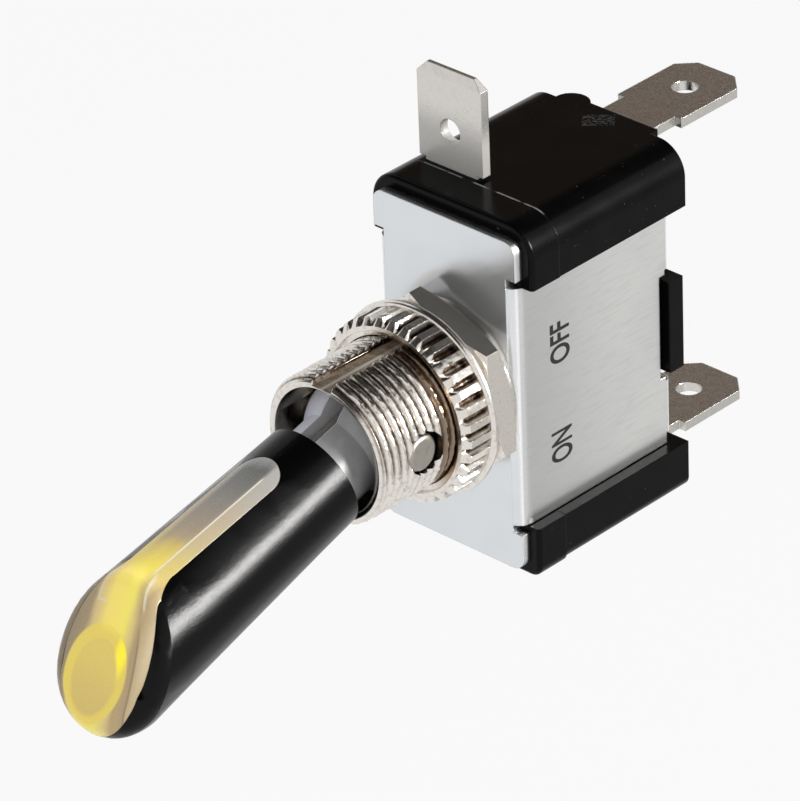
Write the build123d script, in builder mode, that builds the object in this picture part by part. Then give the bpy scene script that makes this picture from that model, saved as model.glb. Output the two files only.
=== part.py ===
from build123d import *
import math
import os

# Panel toggle switch with a lit lever tip. Lengths are in millimetres, angles in degrees.
# X points right as seen from the front, Y backwards into the panel and Z up.
# The origin is on the bushing's axis, at the outer face of the bracket's front plate.

# Bent sheet bracket
sheet = 0.8
bracket_width = 14.0
plate_height = 27.8
ear_width = 14.1
ear_height = 3.1
ear_radius = 1.0
neck_width = 12.2
bend_radius = 0.45
flange_top = 10.0
flange_bottom = 10.2
flange_rear = 16.4
window_half_height = 4.4
window_front = 15.8
crimp_height = 4.5
crimp_reach = 2.2

# Moulded housing
housing_width = 16.0
housing_top = 15.0
housing_bottom = 14.4
housing_rear = 17.75
top_corner_radius = 2.5
bottom_corner_radius = 1.0
cover_edge_radius = 0.35
seam_depth = 3.0
cover_proud = 0.2
flange_gap = 0.05
ledge_gap = 0.08
ledge_proud = 0.05
block_overlap = 0.5
cavity_width = 9.2
cavity_height = 22.4
cavity_rear = 14.2
cover_wall = 1.4
boss_width = 15.0
boss_height = 7.8
boss_proud = 0.15
cowl_width = 9.2
cowl_height = 1.1
cowl_proud = 0.85
lobe_radius = 1.5
lobe_height = 0.7
lobe_x = -3.3

# Threaded bushing and its nuts
thread_radius = 6.0
mouth_depth = 13.3
bore_radius = 5.0
mouth_chamfer = 0.3
thread_pitch = 0.75
thread_crest = 0.2
thread_share = 0.4
thread_runout = 0.6
collar_radius = 6.8
collar_thickness = 0.4
spigot_radius = 5.4
lip_radius = 5.75
lip_thickness = 0.5
keyway_width = 2.0
keyway_floor = 5.25
thread_clearance = 0.05
nut_gap = 0.05
hex_flats = 14.0
hex_thickness = 2.3
hex_turn = 41.0
hex_chamfer_radius = 6.9
hex_chamfer_depth = 0.55
rim_overhang = 0.4
rim_thickness = 0.7
rim_edge_radius = 0.33
knurl_length = 2.5
knurl_root_radius = 6.9
knurl_tip_radius = 7.4
knurl_teeth = 42
tooth_width = 0.75
tooth_angle = 66
tooth_root = 0.25
knurl_chamfer = 0.5
dish_radius = 6.5
dish_depth = 0.35

# Lever, measured outwards from its pivot
pivot_depth = 8.9
throw_angle = 15.2
pin_radius = 1.48
pin_length = 11.6
pin_end_radius = 0.4
pin_press_gap = 0.02
pin_running_gap = 0.07
ball_radius = 4.6
shank_radius = 3.47
shank_end = 21.0
tail_radius = 1.7
tail_length = 14.0
tail_room = 0.8
lead_slot_width = 1.6
lead_slot_floor = 1.95
lead_slot_deep_floor = 0.95
lead_slot_deep_start = 17.2
sleeve_start = 5.85
sleeve_root_radius = 4.34
sleeve_tip_radius = 5.18
sleeve_end = 32.9
sleeve_end_radius = 4.7
sleeve_gap = 0.03
face_centre = 28.6
face_angle = 46.0
face_edge_radius = 1.2
pocket_start = 22.0
pocket_half_width = 4.0
pocket_half_height = 4.75
pocket_lift = 0.75
strip_start = 9.0
strip_width = 4.1
lens_gap = 0.03

# LED and its leads, in the lever tip
led_radius = 1.9
led_flange_radius = 2.2
led_flange_thickness = 0.9
led_length = 2.5
led_gap = 0.1
lead_size = 0.4
lead_spacing = 0.9
lead_height = 2.2
lead_drop = 1.2
lead_straight = 1.6
lead_end = -5.0

# Snap mechanism
plunger_radius = 1.0
plunger_start = 12.6
plunger_reach = 20.0
plunger_clearance = 0.06
bore_bottom = 8.0
spring_wire = 0.14
spring_radius = 0.72
spring_turns = 4
spring_gap = 0.05
rocker_tilt = 5.5
rocker_width = 4.8
rocker_thickness = 0.9
rocker_gap = 0.08
arc_half_height = 6.0
pad_rim = 0.1
notch_depth = 0.4
notch_half_width = 0.7
knife_radius = 0.12
saddle_half_height = 0.6
saddle_width = 4.4
saddle_gap = 0.08
button_radius = 1.25
button_crown = 0.2
rocker_button_height = 0.9
contact_gap = 0.08

# Push-on tabs
blade = 0.8
tab_width = 6.35
tab_neck_width = 5.1
rear_tab_chamfer = 1.35
tab_hole_radius = 1.0
tab_hole_from_tip = 3.7
rear_tab_height = 13.25
rear_tab_tip = 30.7
rear_tab_shoulder = 22.9
tab_bend_radius = 0.45
upper_leg_end = 4.2
lower_leg_end = 1.5
led_tab_x = -3.05
led_tab_front = 4.3
led_tab_tip = 23.1
led_tab_chamfer = 0.85
led_tab_hole_from_tip = 5.0
lead_in_length = 0.8
lead_in_depth = 0.25
led_tab_shoulder_gap = 0.25
led_leg_width = 2.8
led_leg_drop = 2.6
slot_gap = 0.05

# Dropping resistor of the LED
resistor_radius = 0.85
resistor_length = 4.0
resistor_waist = 0.12
resistor_depth = 7.0
resistor_drop = 1.3
resistor_x = -0.6
wire_radius = 0.28
wire_bend = 0.5
wire_run = 1.1

# Derived sizes
seam = sheet + seam_depth
flange_inside = bracket_width / 2 - sheet
middle_width = 2 * (flange_inside - flange_gap)
crimp_rear = flange_rear + sheet
middle_rear = flange_rear - flange_gap
lid_ledge = flange_top + ledge_gap
floor_ledge = flange_bottom + ledge_gap
middle_height = lid_ledge + floor_ledge + 2 * block_overlap
leg_front = cavity_rear - blade
sine = math.sin(math.radians(throw_angle))
cosine = math.cos(math.radians(throw_angle))
face_sine = math.sin(math.radians(face_angle))
face_cosine = math.cos(math.radians(face_angle))

pivot = Vector(0, -pivot_depth, 0)
lever_out = Vector(0, -cosine, -sine)
lever_up = Vector(0, -sine, cosine)
lever_side = Plane(origin=pivot, x_dir=lever_out, z_dir=(-1, 0, 0))
lever_top = Plane(origin=pivot, x_dir=lever_out, z_dir=lever_up)
lever_axis = Axis(pivot, lever_out)

os.makedirs("parts", exist_ok=True)


def facing(depth):
    """Plane at a depth behind the front plate, seen from the front: X right, Z up, normal to the front."""
    return Plane.XZ.offset(-depth)


def across_lever(distance):
    """Plane across the lever at a distance from the pivot: X right, local Y towards the lever's top."""
    return Plane(origin=pivot + lever_out * distance, x_dir=(1, 0, 0), z_dir=lever_out)


def housing_blocks(top_ledge, bottom):
    """Upper and lower blocks of the housing, seen from the front, above and below the flanges."""
    upper = housing_top - top_ledge
    lower = bottom - floor_ledge
    with Locations((0, top_ledge + upper / 2)):
        Rectangle(housing_width, upper)
    with Locations((0, -floor_ledge - lower / 2)):
        Rectangle(housing_width, lower)


def sleeve_outline():
    """Half section of the lever's outer form, from the sleeve's inner end to its domed tip."""
    with BuildSketch() as outline:
        with BuildLine():
            inner = Line((sleeve_start, 0), (sleeve_start, sleeve_root_radius))
            cone = Line(inner @ 1, (sleeve_end - sleeve_end_radius, sleeve_tip_radius))
            end = Line((sleeve_end, sleeve_tip_radius - sleeve_end_radius), (sleeve_end, 0))
            RadiusArc(cone @ 1, end @ 0, sleeve_end_radius)
            Line(end @ 1, inner @ 0)
        make_face()
    return outline.sketch


def pocket_outline(gap):
    """Section of the pocket in the sleeve's tip that takes the lens, drawn smaller by a gap all round."""
    with BuildSketch() as outline:
        with Locations((0, pocket_lift)):
            Ellipse(pocket_half_width - gap, pocket_half_height - gap)
    return outline.sketch


def strip_outline(gap):
    """The strip along the lever's top, seen from above, drawn smaller by a gap all round."""
    with BuildSketch() as outline:
        with Locations((pocket_start, 0)):
            SlotOverall(2 * (pocket_start - strip_start - gap), strip_width - 2 * gap)
    return outline.sketch


# Bracket: one sheet with two flanges, ears above and below them, and tabs crimped behind the housing.
flange_middle = bracket_width / 2 - sheet / 2
bend_middle = bend_radius + sheet / 2
with BuildPart() as frame:
    with BuildSketch(Plane.XY.offset(-flange_bottom)):
        with BuildLine():
            FilletPolyline(
                (-flange_middle, flange_rear),
                (-flange_middle, sheet / 2),
                (flange_middle, sheet / 2),
                (flange_middle, flange_rear),
                radius=bend_middle,
            )
        trace(line_width=sheet)
    extrude(amount=flange_bottom + flange_top)
    with BuildSketch(facing(sheet)):
        Rectangle(neck_width, plate_height)
        with Locations((0, plate_height / 2 - ear_height / 2), (0, ear_height / 2 - plate_height / 2)):
            Rectangle(ear_width, ear_height)
        fillet(vertices().group_by(Axis.Y)[-1], ear_radius)
        fillet(vertices().group_by(Axis.Y)[0], ear_radius)
    extrude(amount=sheet)
    with BuildSketch(Plane.YZ):
        with Locations((window_front + flange_rear / 2, 0)):
            Rectangle(flange_rear, 2 * window_half_height)
    extrude(amount=bracket_width, both=True, mode=Mode.SUBTRACT)
    for low_end in (window_half_height + sheet / 2, -window_half_height - sheet / 2 - crimp_height):
        for hand in (-1, 1):
            with BuildSketch(Plane.XY.offset(low_end)):
                with BuildLine():
                    FilletPolyline(
                        (hand * flange_middle, window_front),
                        (hand * flange_middle, crimp_rear - sheet / 2),
                        (hand * (flange_inside - crimp_reach), crimp_rear - sheet / 2),
                        radius=sheet / 2 + flange_gap,
                    )
                trace(line_width=sheet)
            extrude(amount=crimp_height)
    with BuildSketch(facing(sheet)):
        Circle(spigot_radius + nut_gap)
    extrude(amount=sheet, mode=Mode.SUBTRACT)
frame.part.label = "frame"
export_step(frame.part, "parts/frame.step")

# Rear housing: blocks proud of the flanges above and below, a middle between the flanges, one cavity.
with BuildPart() as base:
    with BuildSketch(facing(housing_rear)):
        housing_blocks(lid_ledge, housing_bottom)
        fillet(vertices().group_by(Axis.Y)[-1], top_corner_radius)
        fillet(vertices().group_by(Axis.Y)[0], bottom_corner_radius)
    extrude(amount=housing_rear - seam)
    with BuildSketch(facing(middle_rear)):
        Rectangle(middle_width, middle_height)
    extrude(amount=middle_rear - seam)
    with BuildSketch(facing(housing_rear + boss_proud)):
        Rectangle(boss_width, boss_height)
        Rectangle(middle_width - 2 * crimp_reach - 2 * flange_gap, 2 * lid_ledge)
    extrude(amount=housing_rear + boss_proud - middle_rear)
    with BuildSketch(facing(housing_rear + cowl_proud)):
        with Locations((0, housing_top - cowl_height / 2)):
            Rectangle(cowl_width, cowl_height)
    extrude(amount=cowl_proud)
    with BuildSketch(Plane.XY.offset(housing_top - lobe_height)):
        with Locations((lobe_x, housing_rear)):
            Circle(lobe_radius)
    extrude(amount=lobe_height)
    with BuildSketch(facing(cavity_rear)):
        Rectangle(cavity_width, cavity_height)
    extrude(amount=cavity_rear - seam, mode=Mode.SUBTRACT)
    for side in (-1, 1):
        neck_slot = tab_neck_width + 2 * slot_gap
        with BuildSketch(facing(rear_tab_shoulder)):
            with Locations((0, side * rear_tab_height)):
                Rectangle(neck_slot, blade + 2 * slot_gap)
        extrude(amount=rear_tab_shoulder - leg_front + slot_gap, mode=Mode.SUBTRACT)
        with BuildSketch(facing(cavity_rear + slot_gap)):
            with Locations((0, side * rear_tab_height / 2)):
                Rectangle(neck_slot, rear_tab_height + blade + 2 * slot_gap)
        extrude(amount=blade + 2 * slot_gap, mode=Mode.SUBTRACT)
    with BuildSketch(facing(led_tab_front + blade + slot_gap)):
        with Locations((led_tab_x, housing_top)):
            Rectangle(tab_neck_width + 2 * slot_gap, 2 * housing_top - cavity_height)
    extrude(amount=blade + 2 * slot_gap, mode=Mode.SUBTRACT)
base.part.label = "base"
export_step(base.part, "parts/base.step")

# Front cover: closes the cavity, with a slot for the lever's tail and a recess for the bushing's lip.
with BuildPart() as front_cover:
    with BuildSketch(facing(seam)):
        housing_blocks(lid_ledge - ledge_proud, housing_bottom + cover_proud)
        fillet(vertices().group_by(Axis.Y)[-1], top_corner_radius)
        fillet(vertices().group_by(Axis.Y)[0], bottom_corner_radius)
        Rectangle(middle_width, middle_height)
    extrude(amount=seam_depth)
    front_edges = edges().group_by(Axis.Y)[0]
    block_edges = front_edges.filter_by(lambda edge: abs(edge.center().Z) > middle_height / 2)
    fillet(block_edges, cover_edge_radius)
    bend_edges = edges().filter_by(Axis.Z).group_by(Axis.Y)[0]
    chamfer(bend_edges.filter_by(lambda edge: abs(edge.center().Z) < ear_radius), bend_radius)
    with BuildSketch(facing(seam)):
        Rectangle(cavity_width, cavity_height)
    extrude(amount=seam_depth - cover_wall, mode=Mode.SUBTRACT)
    with BuildSketch(facing(seam)):
        SlotOverall(2 * (lip_radius + nut_gap), 2 * (tail_radius + tail_room), rotation=90)
    extrude(amount=seam_depth, mode=Mode.SUBTRACT)
    with BuildSketch(facing(sheet + lip_thickness + nut_gap)):
        Circle(lip_radius + nut_gap)
    extrude(amount=lip_thickness + nut_gap, mode=Mode.SUBTRACT)
front_cover.part.label = "front_cover"
export_step(front_cover.part, "parts/front_cover.step")

# Bushing: thread, collar on the plate, spigot through it and a lip rolled over behind.
thread_front = -mouth_depth + mouth_chamfer
thread_turns = int((-collar_thickness - thread_runout - thread_front) / thread_pitch)
thread_root = thread_radius - thread_share * (thread_radius - bore_radius)
thread_line = []
for turn in range(thread_turns):
    crest_start = thread_front + turn * thread_pitch
    thread_line.append((crest_start, thread_radius))
    thread_line.append((crest_start + thread_crest, thread_radius))
    thread_line.append((crest_start + (thread_pitch + thread_crest) / 2, thread_root))
thread_line.append((thread_front + thread_turns * thread_pitch, thread_radius))
with BuildPart() as bushing:
    with BuildSketch(Plane.YZ):
        with BuildLine():
            Polyline(
                (-mouth_depth, bore_radius),
                (-mouth_depth, thread_radius - mouth_chamfer),
                *thread_line,
                (-collar_thickness, thread_radius),
                (-collar_thickness, collar_radius),
                (0, collar_radius),
                (0, spigot_radius),
                (sheet, spigot_radius),
                (sheet, lip_radius),
                (sheet + lip_thickness / 2, lip_radius),
                (sheet + lip_thickness, bore_radius + lip_thickness / 2),
                (sheet + lip_thickness, bore_radius),
                close=True,
            )
        make_face()
    revolve(axis=Axis.Y)
    with BuildSketch(facing(-collar_thickness)):
        with Locations((0, keyway_floor + thread_radius / 2)):
            Rectangle(keyway_width, thread_radius)
    extrude(amount=mouth_depth, mode=Mode.SUBTRACT)
    with BuildSketch(Plane.YZ):
        with Locations((-pivot_depth, 0)):
            Circle(pin_radius + pin_press_gap)
    extrude(amount=2 * thread_radius, both=True, mode=Mode.SUBTRACT)
bushing.part.label = "bushing"
export_step(bushing.part, "parts/bushing.step")

# Pivot pin across the bushing, with rounded ends just below the thread's crest.
with BuildPart() as pivot_pin:
    with BuildSketch(Plane.YZ.offset(-pin_length / 2)):
        with Locations((-pivot_depth, 0)):
            Circle(pin_radius)
    extrude(amount=pin_length)
    fillet(edges().filter_by(GeomType.CIRCLE), pin_end_radius)
pivot_pin.part.label = "pivot_pin"
export_step(pivot_pin.part, "parts/pivot_pin.step")

# Thin hexagonal nut on the collar, its corners turned down on both faces.
hex_rear = -collar_thickness - nut_gap
hex_front = hex_rear - hex_thickness
hex_corner = hex_flats / math.sqrt(3)
with BuildPart() as hex_nut:
    with BuildSketch(facing(hex_rear)):
        RegularPolygon(hex_corner, 6, rotation=hex_turn)
        Circle(thread_radius + thread_clearance, mode=Mode.SUBTRACT)
    extrude(amount=hex_thickness)
    with BuildSketch(Plane.YZ):
        with BuildLine():
            Polyline(
                (hex_rear, 0),
                (hex_rear, hex_chamfer_radius),
                (hex_rear - hex_chamfer_depth, hex_corner),
                (hex_front + hex_chamfer_depth, hex_corner),
                (hex_front, hex_chamfer_radius),
                (hex_front, 0),
                close=True,
            )
        make_face()
    revolve(axis=Axis.Y, mode=Mode.INTERSECT)
hex_nut.part.label = "hex_nut"
export_step(hex_nut.part, "parts/hex_nut.step")

# Round dress nut: straight teeth in front, a smooth rim behind them and a dished front face.
rim_rear = hex_front - nut_gap
rim_front = rim_rear - rim_thickness
rim_radius = knurl_tip_radius + rim_overhang
knurl_front = rim_front - knurl_length
tooth_height = knurl_tip_radius - knurl_root_radius + tooth_root
with BuildPart() as knurled_nut:
    with BuildSketch(facing(rim_front)):
        Circle(knurl_root_radius)
        with PolarLocations(knurl_tip_radius - tooth_height / 2, knurl_teeth):
            Trapezoid(tooth_width, tooth_height, tooth_angle, rotation=-90)
    extrude(amount=knurl_length)
    with BuildSketch(Plane.YZ):
        with BuildLine():
            Polyline(
                (rim_front, 0),
                (rim_front, rim_radius),
                (knurl_front + knurl_chamfer, rim_radius),
                (knurl_front + knurl_chamfer, knurl_tip_radius),
                (knurl_front, knurl_tip_radius - knurl_chamfer),
                (knurl_front, 0),
                close=True,
            )
        make_face()
    revolve(axis=Axis.Y, mode=Mode.INTERSECT)
    with BuildSketch(Plane.YZ):
        with Locations(((rim_rear + rim_front) / 2, rim_radius / 2)):
            Rectangle(rim_thickness, rim_radius)
        fillet(vertices().group_by(Axis.Y)[-1], rim_edge_radius)
    revolve(axis=Axis.Y)
    with BuildSketch(facing(knurl_front + dish_depth)):
        Circle(dish_radius)
    extrude(amount=dish_depth, mode=Mode.SUBTRACT)
    with BuildSketch(facing(rim_rear)):
        Circle(thread_radius + thread_clearance)
    extrude(amount=rim_thickness + knurl_length, mode=Mode.SUBTRACT)
knurled_nut.part.label = "knurled_nut"
export_step(knurled_nut.part, "parts/knurled_nut.step")

# Lever core: ball on the pin, shank outwards and a bored tail inwards, with a slot for the leads on top.
tail_at_ball = -math.sqrt(ball_radius**2 - tail_radius**2)
shank_at_ball = math.sqrt(ball_radius**2 - shank_radius**2)
plunger_bore = plunger_radius + plunger_clearance
with BuildPart() as lever_core:
    with BuildSketch(lever_side):
        with BuildLine():
            Polyline(
                (shank_at_ball, shank_radius),
                (shank_end, shank_radius),
                (shank_end, 0),
                (-tail_length, 0),
            )
            Polyline((-tail_length, 0), (-tail_length, tail_radius), (tail_at_ball, tail_radius))
            ThreePointArc((tail_at_ball, tail_radius), (0, ball_radius), (shank_at_ball, shank_radius))
        make_face()
    revolve(axis=lever_axis)
    with BuildSketch(Plane.YZ):
        with Locations((-pivot_depth, 0)):
            Circle(pin_radius + pin_running_gap)
    extrude(amount=ball_radius, both=True, mode=Mode.SUBTRACT)
    with BuildSketch(across_lever(shank_end)):
        with Locations((0, lead_slot_floor + ball_radius / 2)):
            Rectangle(lead_slot_width, ball_radius)
    extrude(amount=-shank_end - ball_radius, mode=Mode.SUBTRACT)
    with BuildSketch(across_lever(shank_end)):
        with Locations((0, lead_slot_deep_floor + ball_radius / 2)):
            Rectangle(lead_slot_width, ball_radius)
    extrude(amount=lead_slot_deep_start - shank_end, mode=Mode.SUBTRACT)
    with BuildSketch(across_lever(-tail_length)):
        Circle(plunger_bore)
    extrude(amount=tail_length - bore_bottom, mode=Mode.SUBTRACT)
lever_core.part.label = "lever_core"
export_step(lever_core.part, "parts/lever_core.step")

# Outer form that the sleeve and the lens share: a slow cone with a domed end and a slanted face on top.
face_reach = 2 * sleeve_tip_radius
face_normal = lever_out * face_sine + lever_up * face_cosine
face_plane = Plane(origin=pivot + lever_out * face_centre, x_dir=(1, 0, 0), z_dir=face_normal)
with BuildPart() as lever_form:
    with BuildSketch(lever_side):
        add(sleeve_outline())
    revolve(axis=lever_axis)
    with BuildSketch(face_plane):
        Rectangle(2 * face_reach, 2 * face_reach)
    extrude(amount=face_reach, mode=Mode.SUBTRACT)
    face = faces().filter_by(GeomType.PLANE).sort_by(Axis(face_plane.origin, face_normal))[-1]
    fillet(face.outer_wire().edges(), face_edge_radius)

# Black sleeve over the lever, open along the top and hollow at the tip for the lens.
sleeve_bore = shank_radius + sleeve_gap
with BuildPart() as lever_sleeve:
    add(lever_form.part)
    with BuildSketch(across_lever(sleeve_start)):
        Circle(sleeve_bore)
    extrude(amount=pocket_start - sleeve_start, mode=Mode.SUBTRACT)
    with BuildSketch(lever_top):
        add(strip_outline(0))
    extrude(amount=face_reach, mode=Mode.SUBTRACT)
    with BuildSketch(across_lever(pocket_start)):
        add(pocket_outline(0))
    extrude(amount=sleeve_end - pocket_start, mode=Mode.SUBTRACT)
lever_sleeve.part.label = "lever_sleeve"
export_step(lever_sleeve.part, "parts/lever_sleeve.step")

# Frosted lens: a strip in the sleeve's open top and a plug that fills the tip behind the slanted face.
led_foot = shank_end + lens_gap
led_dome = led_foot + led_flange_thickness + led_length
with BuildPart() as lens:
    with BuildSketch(lever_top):
        add(strip_outline(lens_gap))
    extrude(amount=face_reach)
    with BuildSketch(across_lever(0)):
        Circle(sleeve_bore)
    extrude(amount=led_foot, mode=Mode.SUBTRACT)
    with BuildSketch(across_lever(led_foot)):
        Circle(shank_radius)
    extrude(amount=pocket_start - led_foot)
    with BuildSketch(across_lever(pocket_start + lens_gap)):
        add(pocket_outline(lens_gap))
    extrude(amount=sleeve_end - pocket_start)
    with BuildSketch(across_lever(pocket_start)):
        Circle(shank_radius)
    extrude(amount=pocket_half_width)
    add(lever_form.part, mode=Mode.INTERSECT)
    with BuildSketch(lever_side):
        with BuildLine():
            Polyline(
                (led_dome, led_radius + led_gap),
                (led_foot + led_flange_thickness + led_gap, led_radius + led_gap),
                (led_foot + led_flange_thickness + led_gap, led_flange_radius + led_gap),
                (led_foot, led_flange_radius + led_gap),
                (led_foot, 0),
                (led_dome + led_radius + led_gap, 0),
            )
            RadiusArc(
                (led_dome, led_radius + led_gap),
                (led_dome + led_radius + led_gap, 0),
                led_radius + led_gap,
            )
        make_face()
    revolve(axis=lever_axis, mode=Mode.SUBTRACT)
lens.part.label = "lens"
export_step(lens.part, "parts/lens.step")

# LED: flange, straight body and domed end.
with BuildPart() as led:
    with BuildSketch(lever_side):
        with BuildLine():
            Polyline(
                (led_dome, led_radius),
                (led_foot + led_flange_thickness, led_radius),
                (led_foot + led_flange_thickness, led_flange_radius),
                (led_foot, led_flange_radius),
                (led_foot, 0),
                (led_dome + led_radius, 0),
            )
            RadiusArc((led_dome, led_radius), (led_dome + led_radius, 0), led_radius)
        make_face()
    revolve(axis=lever_axis)
led.part.label = "led"
export_step(led.part, "parts/led.step")

# The LED's two leads, side by side in the slot, stepped up to pass over the pivot pin.
for lead_name, hand in (("led_lead_a", -1), ("led_lead_b", 1)):
    with BuildPart() as led_lead:
        with BuildSketch(lever_side.offset(-hand * lead_spacing / 2 - lead_size / 2)):
            with BuildLine():
                FilletPolyline(
                    (led_foot, lead_drop),
                    (led_foot - lead_straight, lead_drop),
                    (led_foot - lead_straight - 2 * (lead_height - lead_drop), lead_height),
                    (lead_end, lead_height),
                    radius=lead_size,
                )
            trace(line_width=lead_size)
        extrude(amount=lead_size)
    led_lead.part.label = lead_name
    export_step(led_lead.part, f"parts/{lead_name}.step")

# Plunger in the tail's bore, rounded where it rides on the rocker.
tip_centre = plunger_reach - plunger_radius
with BuildPart() as plunger:
    with BuildSketch(lever_side):
        with BuildLine():
            Polyline((-tip_centre, plunger_radius), (-plunger_start, plunger_radius), (-plunger_start, 0))
            Line((-plunger_start, 0), (-plunger_reach, 0))
            RadiusArc((-plunger_reach, 0), (-tip_centre, plunger_radius), plunger_radius)
        make_face()
    revolve(axis=lever_axis)
plunger.part.label = "plunger"
export_step(plunger.part, "parts/plunger.step")

# Coil spring between the bottom of the bore and the plunger.
spring_start = bore_bottom + spring_gap + spring_wire
spring_length = plunger_start - bore_bottom - 2 * spring_gap - 2 * spring_wire
with BuildPart() as plunger_spring:
    with BuildLine():
        coil = Helix(
            pitch=spring_length / spring_turns,
            height=spring_length,
            radius=spring_radius,
            center=pivot - lever_out * (spring_start + spring_length),
            direction=lever_out,
        )
    with BuildSketch(Plane(origin=coil @ 0, z_dir=coil % 0)):
        Circle(spring_wire)
    sweep()
plunger_spring.part.label = "plunger_spring"
export_step(plunger_spring.part, "parts/plunger_spring.step")

# The rocker's trough follows the plunger's tip, as the rocker tilts one way while the lever goes the other.
fulcrum_depth = -pivot_depth + plunger_reach + rocker_gap + rocker_thickness - notch_depth
tilt_sine = math.sin(math.radians(rocker_tilt))
tilt_cosine = math.cos(math.radians(rocker_tilt))
tip_back = -pivot_depth + tip_centre * cosine - fulcrum_depth
tip_up = tip_centre * sine
path_end = (tip_back * tilt_cosine - tip_up * tilt_sine, tip_back * tilt_sine + tip_up * tilt_cosine)
path_middle = -pivot_depth + tip_centre - fulcrum_depth
path_rise = path_middle - path_end[0]
path_radius = (path_end[1] ** 2 + path_rise**2) / (2 * path_rise)
trough_radius = path_radius + plunger_radius + rocker_gap
trough_centre = path_middle - path_radius
back_radius = trough_radius + rocker_thickness
trough_end = trough_centre + math.sqrt(trough_radius**2 - arc_half_height**2)
pad_back = trough_end + rocker_thickness
back_end = math.sqrt(back_radius**2 - (pad_back - trough_centre) ** 2)
pad_middle = back_end + pad_rim + button_radius
pad_end = pad_middle + button_radius + pad_rim
rocker_side = Plane(origin=(0, fulcrum_depth, 0), x_dir=(0, tilt_cosine, -tilt_sine), z_dir=(1, 0, 0))
with BuildPart() as rocker:
    with BuildSketch(rocker_side):
        with BuildLine():
            ThreePointArc(
                (trough_end, -arc_half_height),
                (trough_centre + trough_radius, 0),
                (trough_end, arc_half_height),
            )
            Polyline(
                (trough_end, arc_half_height),
                (trough_end, pad_end),
                (pad_back, pad_end),
                (pad_back, back_end),
            )
            ThreePointArc((pad_back, back_end), (trough_centre + back_radius, 0), (pad_back, -back_end))
            Polyline(
                (pad_back, -back_end),
                (pad_back, -pad_end),
                (trough_end, -pad_end),
                (trough_end, -arc_half_height),
            )
        make_face()
        with BuildLine():
            Polyline(
                (2 * notch_depth, notch_half_width),
                (0, 0),
                (2 * notch_depth, -notch_half_width),
                close=True,
            )
        make_face(mode=Mode.SUBTRACT)
        Circle(knife_radius + saddle_gap, mode=Mode.SUBTRACT)
    extrude(amount=rocker_width / 2, both=True)
rocker.part.label = "rocker"
export_step(rocker.part, "parts/rocker.step")


def button_outline(foot, height):
    """Half section of a contact button standing on a face, with a low crown."""
    crown = math.copysign(button_crown, height)
    crown_radius = (button_radius**2 + button_crown**2) / (2 * crown)
    rim = (foot + height - crown, button_radius)
    with BuildSketch() as outline:
        with BuildLine():
            Polyline((foot + height, 0), (foot, 0), (foot, button_radius), rim)
            RadiusArc(rim, (foot + height, 0), crown_radius)
        make_face()
    return outline.sketch


# Contact button on the back of the rocker's upper pad.
pad_point = rocker_side.from_local_coords(Vector(0, pad_middle, 0))
pad_plane = Plane(origin=pad_point, x_dir=rocker_side.x_dir, z_dir=rocker_side.z_dir)
with BuildPart() as rocker_contact:
    with BuildSketch(pad_plane):
        add(button_outline(pad_back, rocker_button_height))
    revolve(axis=Axis(pad_point, rocker_side.x_dir))
rocker_contact.part.label = "rocker_contact"
export_step(rocker_contact.part, "parts/rocker_contact.step")

# Fixed contact on the upper leg, and a blank button as the rocker's rest on the lower leg.
crown_point = rocker_side.from_local_coords(Vector(pad_back + rocker_button_height, pad_middle, 0))
fixed_height = leg_front - contact_gap - crown_point.Y
for button_name, side in (("upper_contact", 1), ("lower_stop", -1)):
    with BuildPart() as button:
        button_plane = Plane(origin=(0, 0, side * crown_point.Z), x_dir=(0, 1, 0), z_dir=(1, 0, 0))
        with BuildSketch(button_plane):
            add(button_outline(leg_front, -fixed_height))
        revolve(axis=Axis(button_plane.origin, button_plane.x_dir))
    button.part.label = button_name
    export_step(button.part, f"parts/{button_name}.step")

# Knife-edge saddle on the lower leg, its rounded edge in the rocker's notch, where the rocker tilts.
with BuildPart() as saddle:
    with BuildSketch(Plane.YZ.offset(-saddle_width / 2)):
        with BuildLine():
            Polyline(
                (leg_front, saddle_half_height),
                (fulcrum_depth, 0),
                (leg_front, -saddle_half_height),
                close=True,
            )
        make_face()
        with Locations((fulcrum_depth, 0)):
            Circle(knife_radius)
    extrude(amount=saddle_width)
saddle.part.label = "saddle"
export_step(saddle.part, "parts/saddle.step")

# Rear push-on tabs: a blade with shoulders, a neck through the housing and a leg down its inner wall.
leg_middle = leg_front + blade / 2
rear_tabs = (("upper_terminal", 1, upper_leg_end), ("lower_terminal", -1, lower_leg_end))
for tab_name, side, leg_end in rear_tabs:
    with BuildPart() as terminal:
        with BuildSketch(Plane.YZ):
            with BuildLine():
                FilletPolyline(
                    (rear_tab_shoulder, side * rear_tab_height),
                    (leg_middle, side * rear_tab_height),
                    (leg_middle, leg_end),
                    radius=tab_bend_radius,
                )
            trace(line_width=blade)
        extrude(amount=tab_neck_width / 2, both=True)
        with BuildSketch(Plane.XY.offset(side * rear_tab_height - blade / 2)):
            with Locations((0, (rear_tab_shoulder + rear_tab_tip) / 2)):
                Rectangle(tab_width, rear_tab_tip - rear_tab_shoulder)
            chamfer(vertices().group_by(Axis.Y)[-1], rear_tab_chamfer)
            with Locations((0, rear_tab_tip - tab_hole_from_tip)):
                Circle(tab_hole_radius, mode=Mode.SUBTRACT)
        extrude(amount=blade)
    terminal.part.label = tab_name
    export_step(terminal.part, f"parts/{tab_name}.step")

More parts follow.
